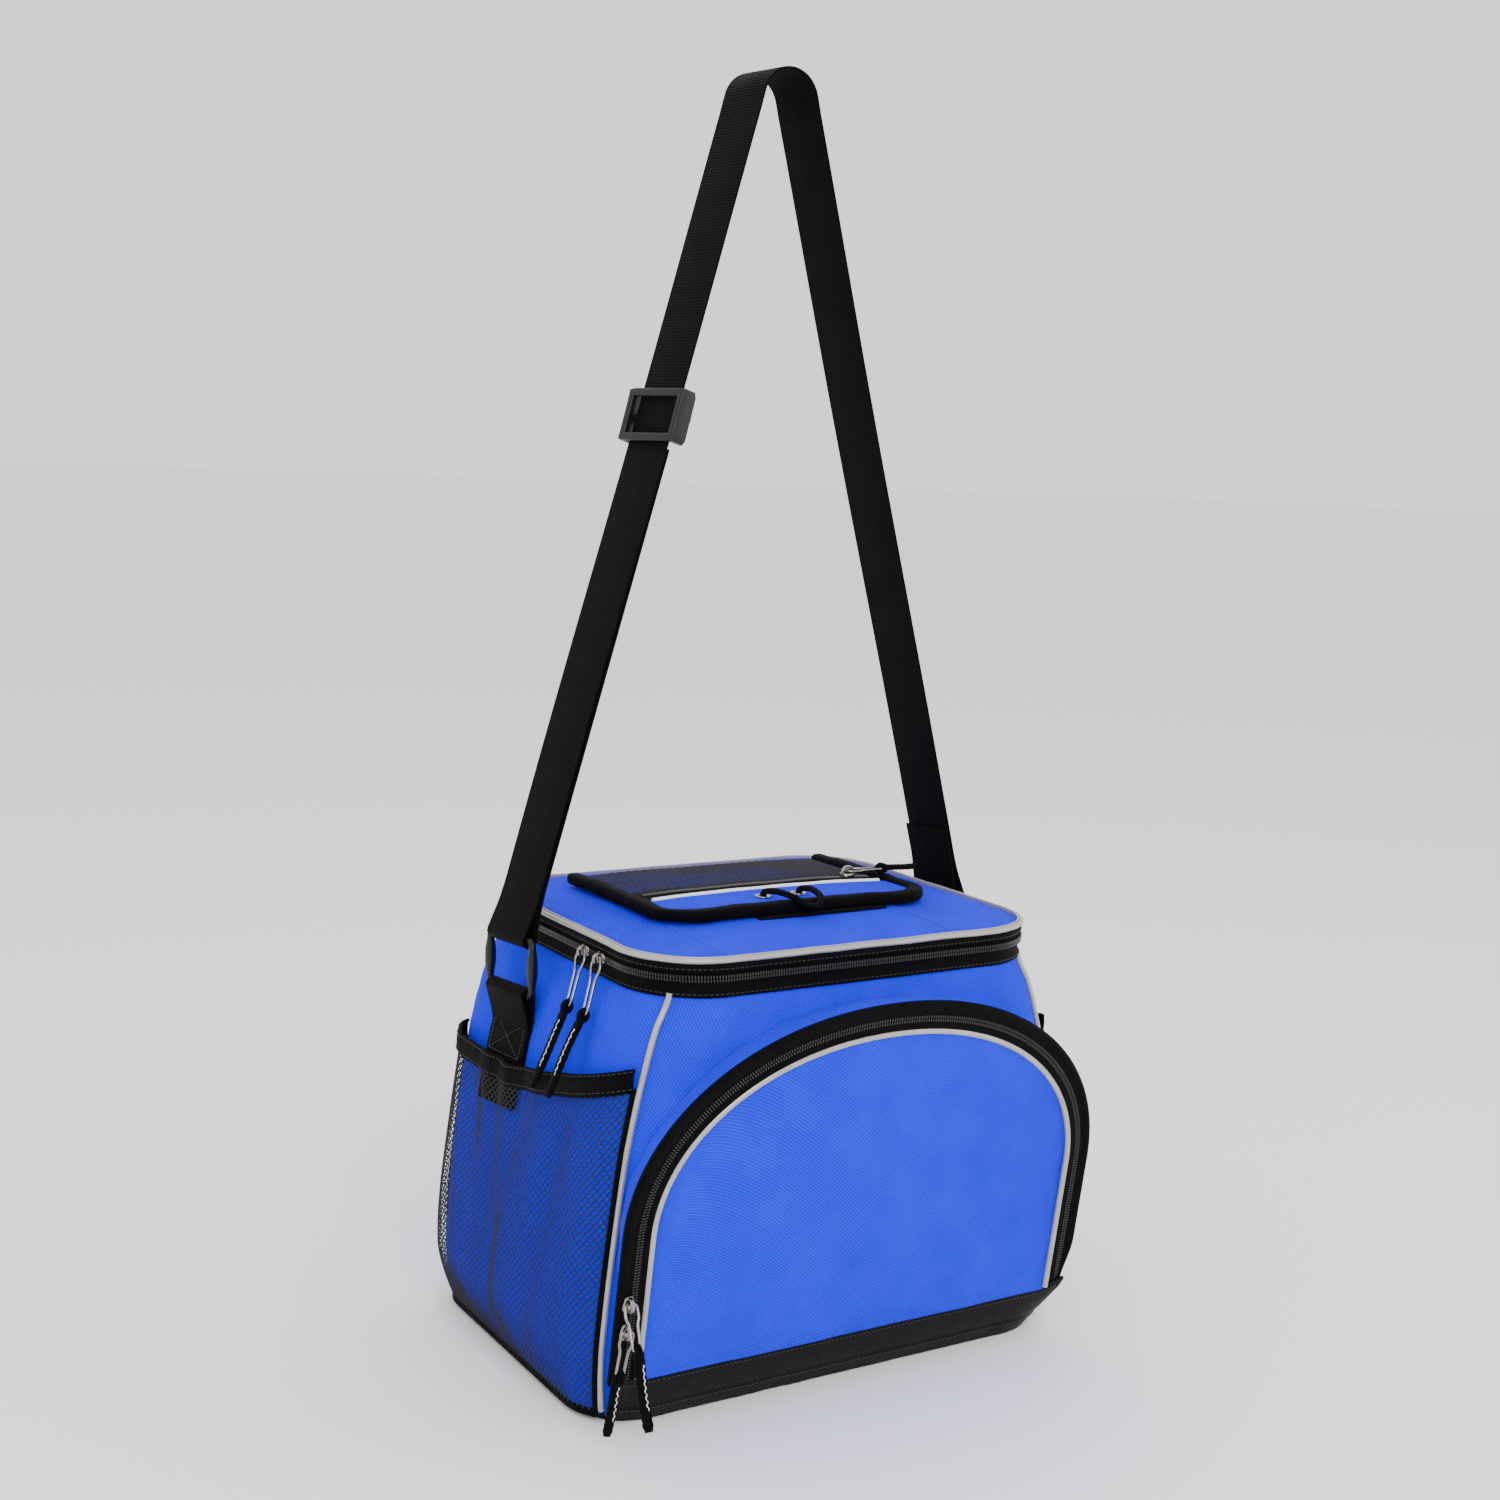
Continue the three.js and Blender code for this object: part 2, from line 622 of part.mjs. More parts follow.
function addFlap(parent) {
  const layer = FLAP_TOP + GAP;
  const edge = BINDING_RADIUS + 3 * GAP;
  place('flap_panel', roundFront(domePatch(FLAP, FLAP_LIFT, FLAP_TOP, 6, 5)), blue, parent);
  place('flap_mesh',
    domePatch({ left: -86, right: 86, front: 12, back: 75 }, layer, layer + 0.8), black, parent);
  place('flap_front_strip',
    roundFront(domePatch({ left: -86, right: 86, front: -47, back: -13 }, layer, layer + FABRIC, 6, 2)),
    blue, parent);
  place('flap_zip_tape', flapZipTape(layer), black, parent);
  place('flap_piping', tube([-85, -45, 0, 45, 85].map((x) => overDome(layer + 1.7)([x, -10.6])), 1.7, 10),
    silver, parent);

  const left = FLAP.left - edge;
  const right = FLAP.right + edge;
  const front = FLAP.front - edge;
  const bend = FLAP_CORNER + edge;
  const slack = bend * (1 - Math.SQRT1_2);
  const bindingRoute = [
    [left, 76], [left, 40], [left, 0], [left, front + bend], [left + slack, front + slack],
    [left + bend, front], [-35, front], [35, front], [right - bend, front],
    [right - slack, front + slack], [right, front + bend], [right, 0], [right, 40], [right, 76],
  ].map(overDome(FLAP_LIFT + BINDING_RADIUS));
  place('flap_binding', tube(bindingRoute, BINDING_RADIUS, 36), black, parent);
  addEyelets(parent, layer + FABRIC + GAP);
}

const FLAP_ZIP = { front: -8.4, back: 11.6, ridgeFront: -0.6, ridgeBack: 3.8 };

function flapZipTape(layer) {
  const tape = domePatch({ left: -86, right: 86, front: FLAP_ZIP.front, back: FLAP_ZIP.back },
    layer, layer + 1, 6, 2);
  const ridge = domePatch(
    { left: -84, right: 84, front: FLAP_ZIP.ridgeFront, back: FLAP_ZIP.ridgeBack },
    layer + 0.5, layer + 1 + ZIP_RIDGE, 6, 1);
  return join(tape, ridge);
}

const EYELET_Y = -32;
const EYELET_X = [-18, 8];

function addEyelets(parent, lift) {
  EYELET_X.forEach((x, i) => {
    const shape = new THREE.Shape().absarc(0, 0, 5, 0, 2 * Math.PI, false);
    shape.holes.push(new THREE.Path().absarc(0, 0, 3.1, 0, 2 * Math.PI, true));
    const ring = new THREE.ExtrudeGeometry(shape, { depth: 1, bevelEnabled: false, curveSegments: 6 });
    const mesh = place(`eyelet_${['left', 'right'][i]}`, ring, nickel, parent);
    mesh.position.set(x, EYELET_Y, domeHeight(x, EYELET_Y) + lift + 0.2);
    mesh.rotation.x = -0.03;
  });
  // The pull loop rises from one eyelet, hangs over the binding and returns to the other.
  const [first, second] = EYELET_X;
  const route = [
    [first, EYELET_Y, 2.6], [first + 1, EYELET_Y - 3, 5], [first + 3, EYELET_Y - 14, 6.5],
    [first + 7, EYELET_Y - 27, 5.5], [first + 13, EYELET_Y - 34, 1.5], [second - 7, EYELET_Y - 34, 1],
    [second - 2, EYELET_Y - 27, 5], [second, EYELET_Y - 14, 6.5], [second, EYELET_Y - 3, 5],
    [second, EYELET_Y, 2.6],
  ].map(([x, y, up]) => [x, y, domeHeight(x, -40) + lift + up]);
  place('flap_pull_loop', tube(route, 2, 24), black, parent);
}

function addLoopStrip(parent) {
  place('lid_loop_strip',
    domePatch({ left: -30, right: 55, front: -64, back: -42 }, GAP, GAP + FABRIC, 4, 1), black, parent);
}

// ---- Shoulder strap ------------------------------------------------------------------

const RING_BAR = RING.bar / 2;
const TURN_RADIUS = Math.hypot(RING_BAR, RING_BAR) + 0.7 + WEBBING.thickness / 2;

// Half a turn of webbing over or under a ring's bar, in the XZ plane.
function halfTurn(x, z, fromAngle, toAngle, turn) {
  const steps = 5;
  return Array.from({ length: steps + 1 }, (_, i) => {
    const angle = lerp(fromAngle, toAngle, i / steps);
    return { x: x + TURN_RADIUS * Math.cos(angle), z: z + TURN_RADIUS * Math.sin(angle), turn };
  });
}

function addStrapTab(name, sign) {
  const outward = (z, off) => sign * (bodyAt(z).halfWidth + off);
  const flat = GAP + WEBBING.thickness / 2 + 0.1;
  const doubled = flat + WEBBING.thickness + GAP;
  const turned = halfTurn(sign * RING.x, RING.bottomBarZ, sign > 0 ? 0 : Math.PI,
    sign > 0 ? Math.PI : 0, STRAP_TURN);
  const stations = [
    { x: outward(150, flat), z: 150, turn: 0 },
    { x: outward(168, flat), z: 168, turn: 0 },
    { x: outward(186, flat), z: 186, turn: 0 },
    { x: outward(200, doubled + 1.5), z: 200, turn: STRAP_TURN * 0.3 },
    ...turned,
    { x: sign * (RING.x - 3), z: 216, turn: STRAP_TURN * 0.8 },
  ];
  place(`strap_tab_${name}`, ribbon(stations, STRAP_Y, WEBBING), black);
}

function addRing(name, sign, parent) {
  const half = { width: RING.width / 2, height: RING.height / 2 };
  const outline = (inset, radius, Type) => {
    const path = new Type();
    const w = half.width - inset;
    const h = half.height - inset;
    path.absarc(w - radius, h - radius, radius, 0, QUARTER);
    path.absarc(radius - w, h - radius, radius, QUARTER, 2 * QUARTER);
    path.absarc(radius - w, radius - h, radius, 2 * QUARTER, 3 * QUARTER);
    path.absarc(w - radius, radius - h, radius, 3 * QUARTER, 4 * QUARTER);
    path.closePath();
    return path;
  };
  const shape = outline(0, 6, THREE.Shape);
  shape.holes.push(outline(RING.bar, 2.5, THREE.Path));
  const depth = RING.bar - 0.4;
  const frame = new THREE.ExtrudeGeometry(shape, { depth, bevelEnabled: false, curveSegments: 3 })
    .translate(0, 0, -depth / 2)
    .rotateX(QUARTER)
    .rotateZ(QUARTER + STRAP_TURN);
  const ring = place(`strap_ring_${name}`, frame, plastic, parent);
  ring.position.set(sign * RING.x, STRAP_Y, RING.bottomBarZ + half.height - RING_BAR);
}

const LEG_START = new THREE.Vector2(-RING.x, RING_TOP_BAR_Z);
const LEG_END = new THREE.Vector2(-APEX.radius, APEX.z);
const LEG_ALONG = LEG_END.clone().sub(LEG_START).normalize();
const LEG_LENGTH = LEG_START.distanceTo(LEG_END);
const LEG_OUT = new THREE.Vector2(-LEG_ALONG.y, LEG_ALONG.x);

// A station on a leg: a distance up from the ring's bar, and out from the leg's middle line.
function legStation(sign, up, out) {
  const point = LEG_START.clone().addScaledVector(LEG_ALONG, up).addScaledVector(LEG_OUT, out);
  return { x: -sign * point.x, z: point.y, turn: STRAP_TURN };
}

const OUTER_LAYER = 1.1;
const INNER_LAYER = -1.1;

function addStrapLeg(name, sign, innerEnd, parent) {
  const innerShares = Math.max(1, Math.round(innerEnd / 110));
  const stations = [];
  for (let i = 0; i < innerShares; i += 1) {
    stations.push(legStation(sign, lerp(innerEnd, 32, i / innerShares), INNER_LAYER));
  }
  stations.push(legStation(sign, 10, -3.2));
  const lean = Math.atan2(LEG_OUT.y, -LEG_OUT.x);
  const inside = sign < 0 ? -lean : Math.PI + lean;
  const outside = sign < 0 ? -Math.PI - lean : 2 * Math.PI + lean;
  stations.push(...halfTurn(sign * RING.x, RING_TOP_BAR_Z, inside, outside, STRAP_TURN));
  stations.push(legStation(sign, 10, 3.2));
  [32, 120, 220, 330, 440, LEG_LENGTH - 30].forEach((up) => {
    stations.push(legStation(sign, up, OUTER_LAYER));
  });
  const turnSteps = 5;
  for (let i = 0; i <= turnSteps; i += 1) {
    const angle = lerp(lean, QUARTER, i / turnSteps);
    const radius = APEX.radius + OUTER_LAYER;
    stations.push({
      x: sign * (radius * Math.cos(angle) + GAP / 2),
      z: APEX.z + radius * Math.sin(angle),
      turn: STRAP_TURN,
    });
  }
  place(`strap_leg_${name}`, ribbon(stations, STRAP_Y, WEBBING), black, parent);
}

// The strap's length adjuster: two end bars in front of the webbing, a middle bar behind
// it, and two rails that join them.
function addBuckle(parent) {
  const width = 52;
  const height = 33;
  const bar = 3.2;
  const rail = (width - WEBBING.width) / 2 - 2;
  const front = OUTER_LAYER + WEBBING.thickness / 2 + 3 * GAP;
  const behind = INNER_LAYER - WEBBING.thickness / 2 - 3 * GAP;
  const depth = front + bar - (behind - bar);
  const middle = (front + bar + behind - bar) / 2;
  const pieces = [
    boxAt([rail, depth, height], [-(width - rail) / 2, middle, 0]),
    boxAt([rail, depth, height], [(width - rail) / 2, middle, 0]),
    boxAt([width - 1, bar, 5], [0, front + bar / 2, (height - 5) / 2]),
    boxAt([width - 1, bar, 5], [0, front + bar / 2, (5 - height) / 2]),
    boxAt([width - 1, bar, 6], [0, behind - bar / 2, 0]),
  ];
  const frame = join(...pieces);
  const out = new THREE.Vector3(LEG_OUT.x, 0, LEG_OUT.y);
  const up = new THREE.Vector3(LEG_ALONG.x, 0, LEG_ALONG.y);
  const across = new THREE.Vector3().crossVectors(out, up);
  const upright = new THREE.Matrix4().makeBasis(across, out, up);
  const twist = new THREE.Matrix4().makeRotationZ(STRAP_TURN);
  const buckle = place('strap_buckle', frame.applyMatrix4(upright.premultiply(twist)), plastic, parent);
  const at = legStation(-1, LEG_LENGTH * BUCKLE_SHARE, 0);
  buckle.position.set(at.x, STRAP_Y, at.z);
}

// ---- Zipper sliders and pulls --------------------------------------------------------

const SLIDER = { length: 10, width: 6.4, plate: 2.2, bridge: 2.2, hole: 3, wall: 1.4 };
const SLIDER_HOLE_UP = SLIDER.plate + SLIDER.hole / 2;

// A slider lies on its zipper: the zipper runs along X and Z points away from the tape. Its
// bridge spans the zipper where the pull hangs across it, and else runs along it.
function sliderGeometry(hangsAcross) {
  const { length, width, plate, bridge, hole, wall: thickness } = SLIDER;
  const outline = new THREE.Shape();
  outline.moveTo(-length / 2, -width / 4);
  outline.lineTo(-length / 4, -width / 2);
  outline.lineTo(length / 4, -width / 2);
  outline.lineTo(length / 2, -width / 3);
  outline.lineTo(length / 2, width / 3);
  outline.lineTo(length / 4, width / 2);
  outline.lineTo(-length / 4, width / 2);
  outline.lineTo(-length / 2, width / 4);
  const base = new THREE.ExtrudeGeometry(outline, { depth: plate, bevelEnabled: false });
  const height = hole + thickness;
  const span = hangsAcross ? width : 0.8 * length;
  const arch = boxAt([span, bridge, height + 0.4], [0, 0, plate + height / 2 - 0.2]);
  const window = boxAt([span - 2 * thickness, bridge + 1, hole], [0, 0, SLIDER_HOLE_UP]);
  const handle = cut(arch, window);
  return join(base, hangsAcross ? handle.rotateZ(QUARTER) : handle);
}

// A pull hangs along -Y from the middle of its wire's top bar, which runs along X.
function pullGeometry(length) {
  const { width, bar } = WIRE;
  const wire = boxAt([width, WIRE.length, bar], [0, bar / 2 - WIRE.length / 2, 0]);
  const eye = boxAt([width - 2 * bar, WIRE.length - 2 * bar, bar + 1], [0, bar / 2 - WIRE.length / 2, 0]);
  const cordLength = length - WIRE.length + 3;
  const outline = new THREE.Shape();
  const half = 3.2;
  outline.absarc(0, -half, half, 0, Math.PI, false);
  outline.absarc(0, half - cordLength, half, Math.PI, 2 * Math.PI, false);
  const cord = new THREE.ExtrudeGeometry(outline, { depth: 3.6, bevelEnabled: false, curveSegments: 6 })
    .translate(0, bar / 2 - WIRE.length + 3, -1.8);
  return join(cut(wire, eye), cord);
}

// Puts a slider and its pull on a zipper. frame gives the directions along the zipper, away
// from the tape and, for the pull, down its length.
function addSlider(name, at, { along, out }, down, pullLength) {
  const hangsAcross = Math.abs(down.dot(along)) < 0.5;
  const slider = place(`${name}_slider`, sliderGeometry(hangsAcross), nickel);
  const across = new THREE.Vector3().crossVectors(out, along);
  slider.matrixAutoUpdate = false;
  slider.matrix.makeBasis(along, across, out).setPosition(at);
  const hang = down.clone().normalize();
  const side = new THREE.Vector3().crossVectors(hang, out).normalize();
  const face = new THREE.Vector3().crossVectors(side, hang.clone().negate());
  const pull = place(`${name}_pull`, pullGeometry(pullLength), black);
  const pivot = at.clone().addScaledVector(out, SLIDER_HOLE_UP);
  pull.matrixAutoUpdate = false;
  pull.matrix.makeBasis(side, hang.negate(), face).setPosition(pivot);
}

function addSliders() {
  const vector = (...xyz) => new THREE.Vector3(...xyz);
  const lidX = -(LID_RECTANGLE.right + 2 * GAP + ZIP_RIDGE + 0.1);
  const lidZip = { along: vector(0, -1, 0), out: vector(-1, 0, 0) };
  const drape = vector(-0.4, 0, -1);
  addSlider('lid_left', vector(lidX, -34, SPLIT), lidZip, drape, PULL_LENGTH);
  addSlider('lid_right', vector(lidX, -54, SPLIT), lidZip, drape, PULL_LENGTH);

  // The pocket's sliders stand a little outside the chain, clear of the face that opens.
  const chainX = -(ARCH.halfWidth - POCKET_TAPE + SLIDER.width / 2 + 0.8);
  const faceZip = {
    along: vector(0, -POCKET_LEAN, 1).normalize(), out: vector(0, -1, -POCKET_LEAN).normalize(),
  };
  const lift = FABRIC + ZIP_RIDGE + GAP + 0.1;
  const onChain = (z) => vector(chainX, pocketFaceY(z), z).addScaledVector(faceZip.out, lift);
  addSlider('pocket_upper', onChain(85), faceZip, vector(-0.05, -0.5, -1), 66);
  addSlider('pocket_lower', onChain(68), faceZip, vector(-0.24, -0.08, -1), 56);

  // The flap's slider is high enough to slide straight over the dome.
  const zipY = (FLAP_ZIP.ridgeFront + FLAP_ZIP.ridgeBack) / 2;
  const at = vector(68, zipY, domeHeight(0, zipY) + FLAP_TOP + 2 * GAP + 1 + ZIP_RIDGE);
  const flapZip = { along: vector(1, 0, 0), out: vector(0, 0, 1) };
  addSlider('flap', at, flapZip, vector(1, -0.12, 0.02), 50);
}

// ---- Assembly ------------------------------------------------------------------------

addBase();
addWalls();
addLiner();
addBodyZip();
addCornerPiping();
addMeshPocket('left', LEFT);
addMeshPocket('right', RIGHT);
addPocketGusset();
addPocketZip();
addPocketPanel(group);
addFrontTrim();
addLid(group);
addLidHinge();
addLoopStrip(group);
addFlap(group);
addStrapTab('left', -1);
addStrapTab('right', 1);
addRing('left', -1, group);
addRing('right', 1, group);
addStrapLeg('left', -1, LEG_LENGTH * BUCKLE_SHARE - 20, group);
addStrapLeg('right', 1, 50, group);
addBuckle(group);
addSliders();

export default group;
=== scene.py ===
"""Insulated cooler bag: the looks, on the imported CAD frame.

Lengths in the builders below are millimetres, and make_mesh turns them into metres.
"""

import math

import bpy
import numpy as np
from mathutils import Matrix, Vector, noise


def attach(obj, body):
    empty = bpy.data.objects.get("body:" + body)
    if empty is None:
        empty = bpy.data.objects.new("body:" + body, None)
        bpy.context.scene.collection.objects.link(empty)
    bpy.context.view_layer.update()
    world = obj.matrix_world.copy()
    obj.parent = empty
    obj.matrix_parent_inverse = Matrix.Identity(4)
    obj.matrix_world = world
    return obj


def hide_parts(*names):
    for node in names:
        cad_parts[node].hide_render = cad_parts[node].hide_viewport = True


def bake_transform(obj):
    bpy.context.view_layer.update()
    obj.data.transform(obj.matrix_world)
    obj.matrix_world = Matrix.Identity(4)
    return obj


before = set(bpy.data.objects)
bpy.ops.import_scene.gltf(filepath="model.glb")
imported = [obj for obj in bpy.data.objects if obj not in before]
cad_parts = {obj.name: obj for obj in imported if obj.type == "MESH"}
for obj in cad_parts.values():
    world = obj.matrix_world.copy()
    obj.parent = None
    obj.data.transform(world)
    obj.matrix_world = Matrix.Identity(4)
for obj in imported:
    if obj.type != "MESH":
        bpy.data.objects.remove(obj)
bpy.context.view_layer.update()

# ---- Dimensions, as in the CAD ---------------------------------------------------------

# Height, half width, front depth, back depth and corner radius of the body's outline.
STATIONS = np.array([
    (0, 164, 108, 112, 34),
    (12, 168, 113, 116, 36),
    (38, 171, 117, 119, 38),
    (75, 170.5, 120, 121, 40),
    (116, 167, 121, 122, 42),
    (168, 161, 122, 122, 44),
    (203, 154, 122, 122, 46),
    (231, 146, 121, 121, 47),
    (252, 137, 119.5, 119.5, 47),
    (260, 138, 120, 120, 47),
    (300, 138, 120, 120, 47),
], float)

FRONT, RIGHT, BACK, LEFT = range(4)
QUARTER = math.pi / 2
UP = np.array([0, 0, 1.0])
RIM = 252.0
SPLIT = 260.2
LID_EDGE = 270.0
LID_CROWN = 6.0
LID_HALF = 138.0
LID_BACK = 120.0
PIPING = 1.9

FLAP = {"left": -90, "right": 90, "front": -50, "back": 78}
FLAP_CORNER = 18
FLAP_LIFT = 2.0
FLAP_TOP = 4.4
BINDING = 3.0

ARCH_HALF = 164.0
ARCH_SHOULDER = 121.0
ARCH_TOP = 242.0
ARCH_POWER = 2.1
ARCH_FOOT = 36.0
# How far forward the pocket's face is at its foot, and how much further per millimetre up.
FACE_FRONT = 124.0
FACE_SLOPE = 0.142
TRIM_TOP = 34.0
# How far inside the arch's edge its zipper's coil runs.
CHAIN = 8.6
TOOTH_PITCH = 1.75

STRAP_Y = 24.0
STRAP_TURN = math.radians(10)
WEB_WIDTH = 38.0
WEB_THICKNESS = 1.6
RING_X = 161.5
RING_WIDTH = 48.0
RING_HEIGHT = 38.0
RING_BAR = 4.0
RING_LOW = 224.5
RING_HIGH = RING_LOW + RING_HEIGHT - RING_BAR
APEX_Z = 766.0
APEX_RADIUS = 18.0
BUCKLE_SHARE = 0.62


def mix(a, b, share):
    return a + (b - a) * share


def clamp(value, low=0.0, high=1.0):
    return max(low, min(high, value))


def smooth(value, low=0.0, high=1.0):
    share = clamp((value - low) / (high - low))
    return share * share * (3 - 2 * share)


def wave(point, size):
    """Smooth noise from -1 to 1, with features about size millimetres long."""
    return noise.noise(Vector(point) / size)


def unit(vectors):
    """Vectors, along the last axis of an array, made one long."""
    return vectors / np.maximum(np.linalg.norm(vectors, axis=-1, keepdims=True), 1e-9)


def distances(path):
    """How far along a path each of its points lies."""
    return np.concatenate([[0], np.cumsum(np.linalg.norm(np.diff(path, axis=0), axis=1))])


def points_at(path, steps, wanted):
    """The points of a path at the wanted distances. steps has the distance of each point."""
    return np.stack([np.interp(wanted, steps, path[:, k]) for k in range(3)], 1)


def split(places):
    """Arrays of points and of directions from a list of (point, direction)."""
    points, directions = zip(*places)
    return np.array(points), np.array(directions)


# ---- Meshes ----------------------------------------------------------------------------

def make_mesh(name, points, faces, uvs=None):
    """A smooth-shaded object from points in millimetres. uvs has one pair per face corner."""
    mesh = bpy.data.meshes.new(name)
    mesh.from_pydata((np.asarray(points, float) * 0.001).tolist(), [], faces)
    if uvs is not None:
        layer = mesh.uv_layers.new(name="length")
        layer.data.foreach_set("uv", np.asarray(uvs, np.float32).ravel())
    mesh.shade_smooth()
    obj = bpy.data.objects.new(name, mesh)
    bpy.context.scene.collection.objects.link(obj)
    return obj


def finish_piece(obj, material, body, nodes=(), sharp=40):
    """Gives a piece its material and its body, and hides the CAD nodes it stands for."""
    obj.data.materials.append(material)
    obj.data.set_sharp_from_angle(angle=math.radians(sharp))
    if body:
        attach(obj, body)
    if nodes:
        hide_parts(*nodes)
    return obj


def grid_normals(grid, wrap=False):
    """The outward normal at each point of a grid. wrap joins the ends of its rows."""
    along = np.roll(grid, -1, 1) - np.roll(grid, 1, 1) if wrap else np.gradient(grid, axis=1)
    return unit(np.cross(along, np.gradient(grid, axis=0)))


def grid_lengths(grid, wrap):
    """Metres along the columns and the rows of a grid, for its texture."""
    closed = np.concatenate([grid, grid[:, :1]], 1) if wrap else grid
    middle = closed[len(closed) // 2]
    column = grid[:, grid.shape[1] // 2]
    return distances(middle) * 0.001, distances(column) * 0.001


def sheet_mesh(name, grid, thickness, wrap=False):
    """A closed sheet: the grid is its outer face, the inner one lies a thickness below."""
    grid = np.asarray(grid, float)
    rows, columns = grid.shape[:2]
    inner = grid - grid_normals(grid, wrap) * thickness
    points = np.concatenate([grid.reshape(-1, 3), inner.reshape(-1, 3)])
    across, up = grid_lengths(grid, wrap)
    faces, uvs = [], []

    def corner(face, row, column):
        return face * rows * columns + row * columns + column % columns

    def quad(*corners):
        faces.append([corner(*c) for c in corners])
        uvs.extend((across[c[2]], up[c[1]]) for c in corners)

    spans = columns if wrap else columns - 1
    for r in range(rows - 1):
        for c in range(spans):
            quad((0, r, c), (0, r, c + 1), (0, r + 1, c + 1), (0, r + 1, c))
            quad((1, r, c), (1, r + 1, c), (1, r + 1, c + 1), (1, r, c + 1))
    top = rows - 1
    for c in range(spans):
        quad((0, 0, c), (1, 0, c), (1, 0, c + 1), (0, 0, c + 1))
        quad((0, top, c), (0, top, c + 1), (1, top, c + 1), (1, top, c))
    if not wrap:
        end = columns - 1
        for r in range(rows - 1):
            quad((0, r, 0), (0, r + 1, 0), (1, r + 1, 0), (1, r, 0))
            quad((0, r, end), (1, r, end), (1, r + 1, end), (0, r + 1, end))
    return make_mesh(name, points, faces, uvs)


def path_frames(path, closed, hint=None):
    """Unit tangents and outward normals along a path. hint gives the normals to keep to."""
    if closed:
        tangent = np.roll(path, -1, 0) - np.roll(path, 1, 0)
    else:
        tangent = np.gradient(path, axis=0)
    tangent = unit(tangent)
    if hint is None:
        first = UP if abs(tangent[0][2]) < 0.9 else np.array([1.0, 0.0, 0.0])
        normals = [first]
        for t in tangent[1:]:
            normals.append(normals[-1] - t * normals[-1].dot(t))
        hint = np.array(normals)
    hint = np.broadcast_to(np.asarray(hint, float), path.shape)
    return tangent, unit(hint - tangent * np.sum(hint * tangent, axis=1, keepdims=True))


def sweep_data(path, section, closed=False, hint=None, scale=None):
    """Points, faces and uvs of a section of (out, side) pairs swept along a path."""
    path = np.asarray(path, float)
    section = np.asarray(section, float)
    tangent, out = path_frames(path, closed, hint)
    side = np.cross(out, tangent)
    sizes = np.ones(len(path)) if scale is None else np.asarray(scale, float)
    rings = path[:, None] + sizes[:, None, None] * (
        out[:, None] * section[None, :, :1] + side[:, None] * section[None, :, 1:])
    count, around = len(path), len(section)
    along = distances(np.concatenate([path, path[:1]])) * 0.001
    girth = distances(np.concatenate([section, section[:1]])) * 0.001
    faces, uvs = [], []
    for i in range(count if closed else count - 1):
        for k in range(around):
            corners = [(i, k), (i, k + 1), (i + 1, k + 1), (i + 1, k)]
            faces.append([(a % count) * around + b % around for a, b in corners])
            uvs.extend((along[a], girth[b]) for a, b in corners)
    if not closed:
        faces.append(list(range(around))[::-1])
        faces.append([(count - 1) * around + k for k in range(around)])
        uvs.extend([(along[0], girth[k]) for k in range(around)][::-1])
        uvs.extend((along[count - 1], girth[k]) for k in range(around))
    return rings.reshape(-1, 3), faces, uvs


def merge(parts):
    """One set of points, faces and uvs from several."""
    points, faces, uvs, start = [], [], [], 0
    for part_points, part_faces, part_uvs in parts:
        points.append(part_points)
        faces.extend([[i + start for i in face] for face in part_faces])
        uvs.extend(part_uvs)
        start += len(part_points)
    return np.concatenate(points), faces, uvs


def sweep(name, path, section, **options):
    return make_mesh(name, *sweep_data(path, section, **options))


def circle(radius, sides=12):
    turns = np.arange(sides) * 2 * math.pi / sides
    return np.stack([radius * np.cos(turns), radius * np.sin(turns)], 1)


def rounded(depth, width, radius, steps=3):
    """A rounded rectangle of (out, side) pairs."""
    points = []
    for turn, (sx, sy) in enumerate([(1, 1), (-1, 1), (-1, -1), (1, -1)]):
        for i in range(steps + 1):
            angle = QUARTER * (turn + i / steps)
            points.append((sx * (depth / 2 - radius) + radius * math.cos(angle),
                           sy * (width / 2 - radius) + radius * math.sin(angle)))
    return np.array(points)


def spline(points, count, closed=False):
    """A smooth line through the points, with evenly spaced samples."""
    points = np.asarray(points, float)
    n = len(points)
    dense = []
    for i in range(n if closed else n - 1):
        if closed:
            a, b, c, d = (points[(i + k) % n] for k in (-1, 0, 1, 2))
        else:
            a, b, c, d = (points[min(max(i + k, 0), n - 1)] for k in (-1, 0, 1, 2))
        for t in np.arange(16) / 16:
            dense.append(0.5 * ((2 * b) + (c - a) * t + (2 * a - 5 * b + 4 * c - d) * t ** 2
                                + (3 * b - a - 3 * c + d) * t ** 3))
    dense.append(points[0] if closed else points[-1])
    dense = np.array(dense)
    steps = distances(dense)
    even = points_at(dense, steps, np.linspace(0, steps[-1], count + 1 if closed else count))
    return even[:-1] if closed else even


def path_length(path):
    return float(distances(path)[-1])


def scattered(template, positions, axes):
    """Copies of a template (points, faces). axes has a 3 by 3 matrix of rows per copy."""
    shape, faces = template
    points = np.einsum("pk,nkd->npd", shape, axes) + positions[:, None]
    size = len(shape)
    out = []
    for n in range(len(positions)):
        out.extend([[i + n * size for i in face] for face in faces])
    return points.reshape(-1, 3), out


def pebble(length, width, height, sides=6):
    """A small rounded bar along its first axis."""
    shape, faces = [], []
    for along, grow in ((-0.5, 0.35), (-0.32, 1.0), (0.32, 1.0), (0.5, 0.35)):
        for k in range(sides):
            turn = 2 * math.pi * k / sides
            shape.append((along * length, grow * width / 2 * math.cos(turn),
                          grow * height / 2 * math.sin(turn)))
    for ring in range(3):
        for k in range(sides):
            a, b = ring * sides + k, ring * sides + (k + 1) % sides
            faces.append([a, b, b + sides, a + sides])
    faces.append(list(range(sides))[::-1])
    faces.append([3 * sides + k for k in range(sides)])
    return np.array(shape), faces


